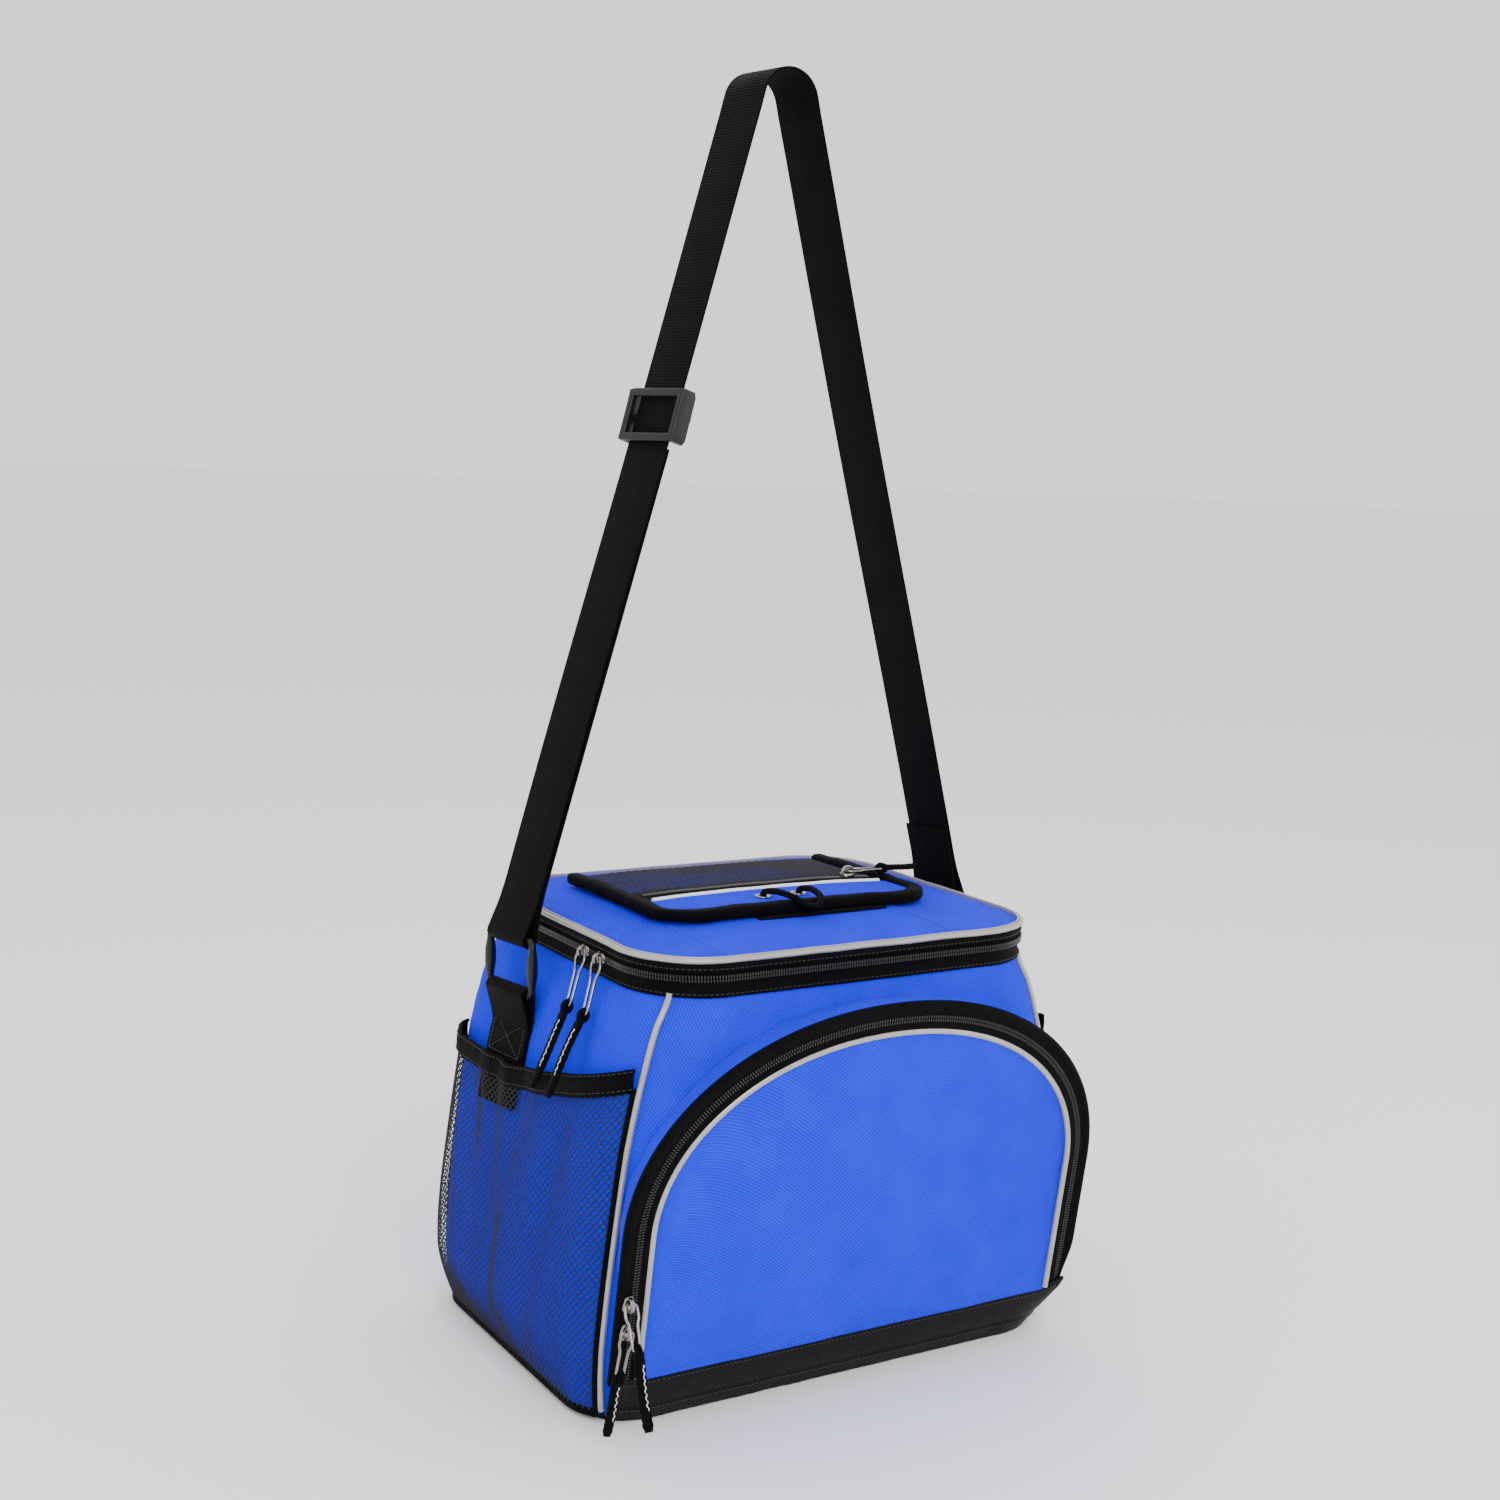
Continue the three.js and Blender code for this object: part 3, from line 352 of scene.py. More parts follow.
def along_path(path, pitch, closed=False, hint=None):
    """Evenly spaced places on a path and their axes: along, side, out."""
    path = np.asarray(path, float)
    hint = np.broadcast_to(np.asarray(hint, float), path.shape)
    line = np.concatenate([path, path[:1]]) if closed else path
    hints = np.concatenate([hint, hint[:1]]) if closed else hint
    steps = distances(line)
    count = max(2, int(round(steps[-1] / pitch)))
    wanted = (np.arange(count) + 0.5) * steps[-1] / count
    at = points_at(line, steps, wanted)
    out = points_at(hints, steps, wanted)
    tangent = unit(points_at(line, steps, np.minimum(wanted + 0.4, steps[-1])) - at)
    out = unit(out - tangent * np.sum(out * tangent, axis=1, keepdims=True))
    return at, np.stack([tangent, np.cross(out, tangent), out], 1)


# ---- Materials -------------------------------------------------------------------------

class Shader:
    """A node material: a principled shader and helpers that add nodes to it."""

    def __init__(self, name, color, roughness, **values):
        self.material = bpy.data.materials.new(name)
        self.material.use_nodes = True
        self.tree = self.material.node_tree
        self.shader = self.tree.nodes["Principled BSDF"]
        self.color = (*color, 1)
        self.set("Base Color", self.color)
        self.set("Roughness", roughness)
        for key, value in values.items():
            self.set(key.replace("_", " "), value)

    def set(self, socket, value):
        self.shader.inputs[socket].default_value = value

    def node(self, kind, **inputs):
        made = self.tree.nodes.new(kind)
        for key, value in inputs.items():
            made.inputs[key.replace("_", " ")].default_value = value
        return made

    def link(self, start, end):
        self.tree.links.new(start, end)

    def bands(self, period, direction):
        """Sine bands across the texture's lengths, with a period in metres."""
        coordinates = self.node("ShaderNodeTexCoord")
        made = self.node("ShaderNodeTexWave", Distortion=0.0, Detail=0.0)
        made.wave_profile = "SIN"
        made.bands_direction = direction
        per_metre = 10.0 if direction == "DIAGONAL" else 20.0
        made.inputs["Scale"].default_value = 2 * math.pi / (per_metre * period)
        self.link(coordinates.outputs["UV"], made.inputs["Vector"])
        return made.outputs["Fac"]

    def noise(self, size):
        """Noise in the object's own space, with features about size metres long."""
        coordinates = self.node("ShaderNodeTexCoord")
        made = self.node("ShaderNodeTexNoise", Scale=1 / size, Detail=3.0, Roughness=0.55)
        self.link(coordinates.outputs["Object"], made.inputs["Vector"])
        return made.outputs["Fac"]

    def math(self, operation, first, second):
        made = self.node("ShaderNodeMath")
        made.operation = operation
        for socket, value in zip(made.inputs, (first, second)):
            if isinstance(value, (int, float)):
                socket.default_value = value
            else:
                self.link(value, socket)
        return made.outputs[0]

    def shade(self, factor, dark, light):
        """The base colour runs between two shares of itself as the factor goes 0 to 1."""
        ramp = self.node("ShaderNodeMix")
        ramp.data_type = "RGBA"
        ramp.inputs[6].default_value = (*[c * dark for c in self.color[:3]], 1)
        ramp.inputs[7].default_value = (*[c * light for c in self.color[:3]], 1)
        self.link(factor, ramp.inputs[0])
        self.link(ramp.outputs[2], self.shader.inputs["Base Color"])

    def rough(self, factor, low, high):
        ramp = self.node("ShaderNodeMapRange", To_Min=low, To_Max=high)
        self.link(factor, ramp.inputs["Value"])
        self.link(ramp.outputs["Result"], self.shader.inputs["Roughness"])

    def bump(self, layers):
        """Stacks bump layers of (height, strength, distance in metres)."""
        normal = None
        for height, strength, distance in layers:
            made = self.node("ShaderNodeBump", Strength=strength, Distance=distance)
            self.link(height, made.inputs["Height"])
            if normal is not None:
                self.link(normal, made.inputs["Normal"])
            normal = made.outputs["Normal"]
        self.link(normal, self.shader.inputs["Normal"])


def woven(name, color, dark, light, period, roughness=0.75, sheen=0.25, strength=0.5):
    """Polyester cloth: a plain weave with a soft diagonal, over faint shade changes."""
    cloth = Shader(name, color, roughness, Sheen_Weight=sheen, Sheen_Roughness=0.45,
                   Specular_IOR_Level=0.05)
    warp = cloth.bands(period, "X")
    weft = cloth.bands(period, "Y")
    twill = cloth.bands(period * 1.4, "DIAGONAL")
    basket = cloth.math("MULTIPLY", warp, weft)
    weave = cloth.math("ADD", cloth.math("MULTIPLY", basket, 0.3), cloth.math("MULTIPLY", twill, 0.7))
    broad = cloth.noise(0.03)
    tone = cloth.math("ADD", cloth.math("MULTIPLY", weave, 0.55), cloth.math("MULTIPLY", broad, 0.45))
    cloth.shade(tone, dark, light)
    cloth.rough(broad, roughness - 0.08, roughness + 0.1)
    cloth.bump([(broad, 0.3, 0.0014), (weave, strength, 0.0004)])
    return cloth.material


def ribbed(name, color, period, direction, roughness=0.7, strength=0.7):
    """Webbing or tape, with ribs across it."""
    tape = Shader(name, color, roughness, Sheen_Weight=0.01, Sheen_Roughness=0.4,
                  Specular_IOR_Level=0.06)
    ribs = tape.bands(period, direction)
    threads = tape.bands(period * 0.7, "Y" if direction == "X" else "X")
    both = tape.math("ADD", tape.math("MULTIPLY", ribs, 0.7), tape.math("MULTIPLY", threads, 0.3))
    tape.shade(both, 0.45, 1.6)
    tape.rough(tape.noise(0.02), roughness - 0.1, roughness + 0.1)
    tape.bump([(both, strength, 0.0005)])
    return tape.material


def plain(name, color, roughness, size=0.01, depth=0.0001, spread=0.08, **values):
    """A surface with faint unevenness and worn, uneven gloss."""
    made = Shader(name, color, roughness, **values)
    grain = made.noise(size)
    made.shade(grain, 0.9, 1.1)
    made.rough(grain, roughness - spread, roughness + spread)
    made.bump([(grain, 0.35, depth)])
    return made.material


BLUE = (0.0001, 0.0045, 0.86)
BLACK = (0.0013, 0.0013, 0.0014)
blue_cloth = woven("blue_polyester", BLUE, 0.56, 1.3, 0.00165, sheen=0.02, strength=0.9)
twill_cloth = ribbed("coated_twill", (0.0058, 0.005, 0.0046), 0.0026, "DIAGONAL", 0.5, 0.8)
binding_tape = ribbed("black_binding", BLACK, 0.0016, "DIAGONAL", 0.78, 0.7)
zip_tape = ribbed("zipper_tape", BLACK, 0.0014, "X", 0.75, 0.5)
webbing = ribbed("black_webbing", (0.0016, 0.0014, 0.0013), 0.0019, "X", 0.66, 1.0)
net_thread = plain("net_thread", (0.002, 0.002, 0.0024), 0.7, 0.004, 0.0002)
cord_cover = ribbed("black_cord", BLACK, 0.0021, "DIAGONAL", 0.72, 1.0)
nylon = plain("nylon_teeth", (0.012, 0.012, 0.013), 0.3, 0.002, 0.00005)
silver = plain("silver_piping", (0.36, 0.34, 0.32), 0.33, 0.012, 0.0004, 0.1, Metallic=0.4)
# The same silver piping made lighter: a painted highlight for the flap's piping, where light catches it
silver_painted_highlight = plain("piping_painted_highlight", (0.78, 0.77, 0.76), 0.34, 0.012, 0.0004, 0.1)
black_plastic = plain("black_plastic", (0.003, 0.003, 0.0033), 0.4, 0.006, 0.00012,
                      Specular_IOR_Level=0.3)
nickel = plain("nickel", (0.27, 0.25, 0.225), 0.2, 0.004, 0.00004, 0.07, Metallic=1.0)
foam_stuff = plain("foam", (0.72, 0.72, 0.69), 0.9, 0.0012, 0.0003)
foil = plain("liner_film", (0.62, 0.64, 0.66), 0.36, 0.022, 0.0004, 0.08, Metallic=0.3)
board = plain("stiffener_board", (0.03, 0.03, 0.03), 0.75, 0.003, 0.0001)
thread_blue = plain("blue_thread", (0.02, 0.09, 0.7), 0.6, 0.002, 0.0001)
thread_black = plain("black_thread", (0.012, 0.012, 0.013), 0.55, 0.002, 0.0001)
thread_white = plain("white_thread", (0.75, 0.74, 0.68), 0.6, 0.002, 0.0001)


# ---- The body's outline ----------------------------------------------------------------

def outline_at(z):
    """Half width, front, back and corner radius at a height, through smooth curves."""
    heights = STATIONS[:, 0]
    z = clamp(z, heights[0], heights[-1])
    i = int(clamp(np.searchsorted(heights, z) - 1, 0, len(heights) - 2))
    slope = np.gradient(STATIONS[:, 1:], heights, axis=0)
    step = heights[i + 1] - heights[i]
    t = (z - heights[i]) / step
    a, b = STATIONS[i, 1:], STATIONS[i + 1, 1:]
    return ((2 * t ** 3 - 3 * t ** 2 + 1) * a + (t ** 3 - 2 * t ** 2 + t) * step * slope[i]
            + (3 * t ** 2 - 2 * t ** 3) * b + (t ** 3 - t ** 2) * step * slope[i + 1])


def side_place(side, share, z, out=0.0, gap=0.0, outline=None):
    """A point and its outward direction on one side, from the middle of one corner to the
    middle of the next. gap is left free at each end."""
    half, front, back, corner = outline_at(z) if outline is None else outline
    radius = corner + out
    left, right, low, high = -half - out, half + out, -front - out, back + out
    centres = [(left + radius, low + radius), (right - radius, low + radius),
               (right - radius, high - radius), (left + radius, high - radius)]
    start, end = np.array(centres[side]), np.array(centres[(side + 1) % 4])
    flat = np.linalg.norm(end - start)
    arc = radius * QUARTER / 2 - gap
    first = (2.5 + side) * QUARTER
    at = share * (2 * arc + flat)
    if at < arc:
        angle, centre = first + (gap + at) / radius, start
    elif at > arc + flat:
        angle, centre = first + QUARTER - (gap + 2 * arc + flat - at) / radius, end
    else:
        angle, centre = first + QUARTER / 2, start + (end - start) * (at - arc) / flat
    direction = np.array([math.cos(angle), math.sin(angle), 0.0])
    return np.array([*centre, z]) + radius * direction, direction


def side_length(side, z):
    half, front, back, corner = outline_at(z)
    flat = (2 * half if side in (FRONT, BACK) else front + back) - 2 * corner
    return flat + corner * QUARTER


def full_loop(z, out=0.0, per_side=48, outline=None):
    """The whole outline at one height, anticlockwise from the front left corner."""
    return split([side_place(side, k / per_side, z, out, outline=outline)
                  for side in range(4) for k in range(per_side)])


def stitches(name, path, hint, body, material, pitch=3.2, long=2.3, thick=0.55, closed=False):
    """A row of stitches lying on a surface along a path."""
    shape = pebble(long, thick, thick * 0.8)
    obj = make_mesh(name, *scattered(shape, *along_path(path, pitch, closed, hint)))
    finish_piece(obj, material, body)


def teeth(name, path, hint, body, reach, closed=False, flip=1):
    """One side of a coil zipper: a row of loops that reach across the chain."""
    at, axes = along_path(path, TOOTH_PITCH, closed, hint)
    swapped = np.stack([axes[:, 1] * flip, axes[:, 0], axes[:, 2]], 1)
    obj = make_mesh(name, *scattered(pebble(reach, 1.25, 1.9), at, swapped))
    finish_piece(obj, nylon, body)


def piping(name, path, hint, radius, tail, flange, body, node, material=silver, sizes=None,
           closed=False):
    """A cord of piping, and its flange: a flat strip that a tail moves off into the seam."""
    parts = [sweep_data(path, circle(radius, 14), closed, hint, sizes),
             sweep_data(path + tail, rounded(*flange), closed, hint)]
    obj = make_mesh(name, *merge(parts))
    finish_piece(obj, material, body, [node])


def net(name, threads, rows, width, place, body, node):
    """Knitted net: threads that zigzag up a cloth and meet their neighbours in turn. place
    gives the point and the outward direction at two shares, across and up."""
    parts = []
    section = [(0.3, 0), (0, width), (-0.3, 0), (0, -width)]
    for k in range(threads + 1):
        places = []
        for j in range(rows + 1):
            way = 0.42 if (j + k) % 2 == 0 else -0.42
            for nudge in (-0.2, 0.2):
                places.append(place(clamp((k + 0.5 + way) / (threads + 1)), clamp((j + nudge) / rows)))
        path, hint = split(places)
        parts.append(sweep_data(path, section, hint=hint))
    points, faces, _ = merge(parts)
    finish_piece(make_mesh(name, points, faces), net_thread, body, [node], sharp=80)


# ---- Walls, base and liner -------------------------------------------------------------

def wall_lift(side, share, z, length):
    """How far the fabric stands out: soft waves, and puckers where it is sewn."""
    at = share * length
    point = (at + 400 * side, z, 90.0 * side)
    lift = 1.2 + 1.5 * wave(point, 46) + 0.45 * wave(point, 17)
    slanted = (at * 0.8 + z * 0.6, 0.35 * (z * 0.8 - at * 0.6), 90.0 * side)
    lift += 2.2 * max(0.0, wave(slanted, 24)) * smooth(z, 140, 205)
    from_seam = min(at, length - at)
    lift += 0.5 * math.sin(z / 2.6 + 2 * wave(point, 30)) * math.exp(-from_seam / 9)
    lift -= 1.1 * math.exp(-from_seam / 3)
    from_top = RIM - z
    lift += 0.7 * math.sin(at / 3.4 + 3 * wave(point, 40)) * math.exp(-from_top / 11)
    lift -= 1.0 * math.exp(-from_top / 4)
    most = min(0.5 + 0.7 * max(0.0, from_seam - 4), 0.5 + 0.6 * max(0.0, from_top - 5))
    if side == FRONT:
        most = min(most, 0.5 + 0.5 * max(0.0, z - TRIM_TOP))
    return clamp(lift, 0.45, max(0.45, most))


def make_walls():
    for side, name in enumerate(("front", "right", "back", "left")):
        rows = []
        for z in np.linspace(3.3, RIM, 84):
            length = side_length(side, z)
            outline = outline_at(z)
            row = []
            for share in np.linspace(0, 1, 110):
                point, out = side_place(side, share, z, gap=1.6, outline=outline)
                row.append(point + out * wall_lift(side, share, z, length))
            rows.append(row)
        obj = sheet_mesh(f"{name}_wall_cloth", rows, 1.1)
        finish_piece(obj, blue_cloth, "bag", [f"{name}_wall"])
        width = side_length(side, 116)


def make_corner_pipings():
    for name, side in (("front_left", FRONT), ("front_right", RIGHT),
                       ("back_right", BACK), ("back_left", LEFT)):
        heights = np.linspace(8, RIM - 1, 90)
        path, hint = split([side_place(side, 0, z, 1.5) for z in heights])
        path += hint * np.array([[0.3 * wave((z, 0, side * 50), 14)] for z in heights])
        sizes = [1 + 0.05 * wave((z, 9, side * 50), 7) for z in heights]
        piping(f"piping_{name}_cord", path, hint, PIPING, -1.6 * hint, (1.2, 3.4, 0.5), "bag",
               f"piping_{name}", sizes=sizes)


def make_base():
    """The coated skin over the base panel: it lies flat below and turns up round the edge."""
    rows = []
    for drop, height in ((-60, 0.0), (-30, 0.0), (-8, 0.0), (-3, 0.0), (-1.2, 0.4), (-0.3, 1.4),
                         (0, 3.0), (0.2, 5.0)):
        rows.append(full_loop(height, drop)[0])
    obj = sheet_mesh("base_skin", rows, 1.6, wrap=True)
    finish_piece(obj, twill_cloth, "bag")


def shade_cad_pieces():
    """The CAD solids that stay in the scene: the base and the foam."""
    foams = ("foam_base", "foam_front", "foam_right", "foam_back", "foam_left", "lid_foam")
    for name, material in (("base_panel", twill_cloth), ("base_stiffener", board),
                           *((foam, foam_stuff) for foam in foams)):
        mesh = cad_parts[name].data
        mesh.materials.clear()
        mesh.materials.append(material)


def make_liner():
    """The tub's film: its walls from the rim down, and its floor, creased a little."""
    inset = -9.6
    rows = []
    for z in np.linspace(259.6, 22, 52):
        loop, out = full_loop(z, inset)
        lift = [max(0.1, 1.2 + 1.0 * wave(p, 34) + 0.4 * wave(p, 13)) for p in loop]
        rows.append(loop - out * np.array(lift)[:, None])
    foot, _ = full_loop(22, inset)
    centre = np.array([0, 0, 14.6])
    for share in np.linspace(0.04, 0.98, 14):
        row = foot * (1 - share) + centre * share
        row[:, 2] = [15.3 + 6.7 * math.exp(-share * 22) + 0.4 * wave((x, y, 5), 30)
                     for x, y, _ in row]
        rows.append(row)
    obj = sheet_mesh("liner_film", np.array(rows), -0.7, wrap=True)
    finish_piece(obj, foil, "bag", ["liner_tub"])
    loop, _ = full_loop(259.2, -5.6)
    edge = sweep("liner_rim_binding", loop, rounded(2.0, 8.6, 0.9), closed=True, hint=UP)
    finish_piece(edge, binding_tape, "bag")


# ---- The lid's zipper ------------------------------------------------------------------

def zip_band(name, profile, body, node):
    """A tape round the bag, from pairs of height and distance out of the outline."""
    rows = [full_loop(z, out)[0] for z, out in profile]
    rows = [row + np.array([[0, 0, 0.25 * wave(p, 24)] for p in row]) for row in rows]
    obj = sheet_mesh(name, rows, 1.1, wrap=True)
    finish_piece(obj, zip_tape, body, [node])


def make_body_zip():
    zip_band("body_zip_cloth", [(248.6, 1.0), (249.4, 2.3), (251.6, 2.2), (254, 1.1), (256.8, 0.6),
                                (259.4, 0.5)], "bag", "body_zip_tape")
    zip_band("lid_zip_cloth", [(261.0, 0.5), (263.4, 0.6), (264.6, 1.2), (266, 1.6), (268, 1.5),
                               (269.6, 0.7)], "lid", "lid_zip_tape")
    for name, z, body, flip in (("body_zip_teeth", SPLIT - 1.05, "bag", 1),
                                ("lid_zip_teeth", SPLIT + 1.05, "lid", -1)):
        loop, out = full_loop(z, 1.6)
        teeth(name, loop, out, body, 2.4, closed=True, flip=flip)
    for name, z, off, body in (("body_zip_stitches", 251.0, 2.45, "bag"),
                               ("lid_zip_stitches", 265.6, 1.65, "lid")):
        loop, out = full_loop(z, off)
        stitches(name, loop, out, body, thread_black, closed=True)


# ---- Mesh side pockets -----------------------------------------------------------------

POCKET_FOOT = 5.0
NET_CELL = 2.2
NET_ROW = 2.45


def pocket_top(from_back):
    return mix(172, 198, max(0.0, (from_back - 0.45) / 0.55) ** 1.3)


def pocket_bulge(from_back):
    return max(0.0, math.sin(math.pi * from_back ** 0.8)) ** 0.8


def pocket_place(side, share, up):
    """A point and its outward direction on a mesh pocket."""
    from_back = share if side == LEFT else 1 - share
    top = pocket_top(from_back)
    z = mix(POCKET_FOOT, top, up)
    bulge = pocket_bulge(from_back)
    stand = 10 * bulge * smooth(up * 4.2) + 1.9
    gather = smooth(up, 0.25, 1.0) * bulge
    sag = wave((share * 9, up * 1.3, side * 7.0), 1.0)
    folds = math.sin(share * 41 + 2.6 * wave((share * 5, up * 2, side), 1.0))
    creases = max(0.0, wave((share * 6.5 + up * 0.9, up * 0.7, 5 + side), 1.0))
    stand += gather * (1.1 * folds - 1.4) + 2.2 * sag * bulge * smooth(up * 3)
    stand -= 9.0 * creases * bulge * smooth(up, 0.02, 0.2) * smooth(1.02 - up, 0.0, 0.15)
    ridges = max(0.0, wave((share * 8.5 - up * 1.3, up * 0.9, 25 + side), 1.0))
    stand -= 6.0 * ridges * bulge * smooth(up, 0.02, 0.3) * smooth(1.02 - up, 0.0, 0.2)
    stand = max(1.8, stand)
    return side_place(side, share, z, stand, 3.4)


def make_pocket_net(name, side):
    def place(across, up):
        return pocket_place(side, across, up)

    threads = int((side_length(side, 110) - 7) / NET_CELL)
    net(f"{name}_pocket_net", threads, int(182 / NET_ROW), 0.42, place, "bag", f"{name}_mesh_pocket")


def make_pocket_edges(name, side):
    """The binding at the pocket's mouth, its stitches, and the seams down its sides."""
    shares = np.linspace(0, 1, 150)
    rows = []
    profile = ((-0.2, 0.2), (0.0, 1.5), (0.06, 2.0), (0.5, 2.25), (0.94, 2.0), (1.0, 1.4), (1.05, 0.2))
    for up, off in profile:
        row = []
        for share in shares:
            point, out = pocket_place(side, share, 1.0)
            ripple = 0.12 * math.sin(share * 120) + 0.4 * wave((share * 9, up, side), 1.0)
            inward = 1.2 * up * pocket_bulge(share if side == LEFT else 1 - share)
            row.append(point + out * (off + ripple - inward) + UP * 11.4 * up)
        rows.append(row)
    obj = sheet_mesh(f"{name}_pocket_binding", rows, 2.2)
    finish_piece(obj, binding_tape, "bag", [f"{name}_pocket_elastic"])
    normals = grid_normals(np.array(rows))
    for row, label in ((2, "low"), (4, "high")):
        line = np.array(rows[row]) + normals[row] * 0.15
        stitches(f"{name}_pocket_stitches_{label}", line, normals[row], "bag", thread_black,
                 pitch=3.4)
    ups = np.linspace(0, 1, 60)
    for label, section, places in (
            ("seam_start", (1.6, 3.2, 0.6), [pocket_place(side, 0.0, up) for up in ups]),
            ("seam_end", (1.6, 3.2, 0.6), [pocket_place(side, 1.0, up) for up in ups]),
            ("foot", (1.8, 5.0, 0.7), [pocket_place(side, share, 0.0) for share in shares])):
        path, hint = split(places)
        tape = sweep(f"{name}_pocket_{label}", path, rounded(*section), hint=hint)
        finish_piece(tape, binding_tape, "bag")


# ---- Front pocket ----------------------------------------------------------------------

def arch_place(share, inset, foot):
    """A point (x, z) on the arch: share runs from the left foot over the top to the right."""
    half = ARCH_HALF - inset
    rise = ARCH_TOP - ARCH_SHOULDER - inset
    side = -1 if share <= 0.5 else 1
    up = min(share, 1 - share) * 2
    straight = 0.24
    if up < straight:
        return side * half, mix(foot, ARCH_SHOULDER, up / straight)
    angle = (up - straight) / (1 - straight) * QUARTER
    power = 2 / ARCH_POWER
    return (side * half * max(0.0, math.cos(angle)) ** power,
            ARCH_SHOULDER + rise * math.sin(angle) ** power)


def even_arch(inset, foot, count):
    """Evenly spaced (x, z) places along the arch. Its outer edge draws in at the right foot."""
    raw = np.array([(*arch_place(s, inset, foot), 0.0) for s in np.linspace(0, 1, 800)])
    steps = distances(raw)
    x, z, _ = points_at(raw, steps, np.linspace(0, steps[-1], count)).T
    drawn_in = 6.6 * clamp(1 - inset / CHAIN)
    return np.array([a - drawn_in * smooth(66 - b, 0, 30) * (a > 0) for a, b in zip(x, z)]), z


def face_y(z):
    """How far forward the pocket's sloping face lies at a height."""
    return -(FACE_FRONT + FACE_SLOPE * (z - ARCH_FOOT))


FACE_OUT = np.array([0, -1, -FACE_SLOPE]) / math.hypot(1, FACE_SLOPE)


def front_y(x, z):
    """How far forward the body's own surface reaches at a place on the front."""
    half, front, _, corner = outline_at(z)
    past = max(0.0, abs(x) - (half - corner))
    return -(front - corner + math.sqrt(max(corner ** 2 - min(past, corner - 1) ** 2, 1)))


def on_face(inset, foot, count, lift):
    """Places along the arch, lifted off the pocket's face."""
    x, z = even_arch(inset, foot, count)
    return np.array([(a, face_y(b), b) for a, b in zip(x, z)]) + FACE_OUT * lift


def make_gusset():
    """The cloth from the body's front out to the pocket's zipper, puffed between its seams."""
    count = 240
    x, z = even_arch(0.6, TRIM_TOP, count)
    rows = []
    for share in np.linspace(0, 1, 14):
        row = []
        for i in range(count):
            back_x, back_z = x[i] * 0.92, mix(TRIM_TOP, z[i], 0.975)
            back = np.array([back_x, front_y(back_x, back_z) - 0.4, back_z])
            front = np.array([x[i], face_y(z[i]) + 0.2, z[i]])
            point = back + (front - back) * share
            away = unit(np.array([x[i], 0, max(0.0, z[i] - 110)]))
            puff = math.sin(math.pi * share)
            ripple = wave((i * 0.16, share * 1.5, 3), 1.0)
            pucker = math.sin(i * 0.9 + 4 * wave((i * 0.05, 0, 8), 1.0))
            lift = puff * (2.8 + 1.3 * ripple) + 0.2 * pucker * (1 - puff)
            row.append(point + away * lift)
        rows.append(row)
    obj = sheet_mesh("pocket_gusset_cloth", np.array(rows)[::-1, ::-1], 1.2)
    finish_piece(obj, blue_cloth, "bag", ["pocket_gusset"])


def face_strip(name, insets, foot, body, node):
    """A tape along the arch on the pocket's face, from pairs of inset and lift."""
    obj = sheet_mesh(name, [on_face(inset, foot, 260, lift) for inset, lift in insets], 1.0)
    finish_piece(obj, zip_tape, body, [node])


def make_pocket_zip():
    face_strip("pocket_zip_cloth", [(-0.6, -0.6), (-0.8, 0.8), (0.4, 1.9), (2.2, 1.9), (3.0, 1.3),
                                    (5.6, 0.9), (CHAIN - 0.3, 0.6)], TRIM_TOP, "bag",
               "pocket_zip_tape")
    face_strip("pocket_panel_zip_cloth", [(CHAIN + 0.6, 0.6), (11.4, 0.9), (13.4, 1.5), (15.2, 1.5),
                                          (16.2, 1.0)], ARCH_FOOT, "pocket_front",
               "pocket_panel_tape")
    for name, inset, body, flip in (("pocket_zip_teeth", CHAIN - 0.9, "bag", 1),
                                    ("pocket_panel_zip_teeth", CHAIN + 1.2, "pocket_front", -1)):
        teeth(name, on_face(inset, ARCH_FOOT, 400, 1.5), FACE_OUT, body, 2.3, flip=flip)
    stitches("pocket_panel_zip_stitches", on_face(13.6, ARCH_FOOT, 400, 1.6), FACE_OUT,
             "pocket_front", thread_black)
    stitches("pocket_zip_stitches", on_face(2.9, TRIM_TOP, 400, 1.75), FACE_OUT, "bag",
             thread_black)


def make_pocket_piping():
    path = on_face(16.6, ARCH_FOOT - 1, 300, 1.6)
    sizes = [1 + 0.04 * wave((i * 0.3, 0, 0), 1.0) for i in range(300)]
    piping("pocket_piping_cord", path, FACE_OUT, PIPING + 0.1, -1.2 * FACE_OUT, (1.2, 4.4, 0.5),
           "pocket_front", "pocket_piping", sizes=sizes)


def panel_lift(x, z, across, up):
    """The padded face: it swells from its seams and has a few broad, shallow hollows."""
    edge = min(1 - abs(across), 2 * up, 2 * (1 - up))
    swell = (1 - abs(across) ** 3) * math.sqrt(max(0.0, 4 * up * (1 - up)))
    lift = 1.2 + 9.0 * swell
    point = (x, z, 0)
    lift += (1.9 * wave(point, 72) + 0.7 * wave(point, 26)) * smooth(edge * 3)
    lift += 1.6 * max(0.0, wave((x * 0.6 + z, 0.4 * (z - x), 7), 30)) * smooth(0.55 - up, 0, 0.5)
    near = math.exp(-edge * 16)
    along = math.atan2(z - 60, x) * 150
    lift += 0.75 * math.sin(along / 5.2 + 3 * wave(point, 50)) * near * smooth(edge * 30)
    return lift


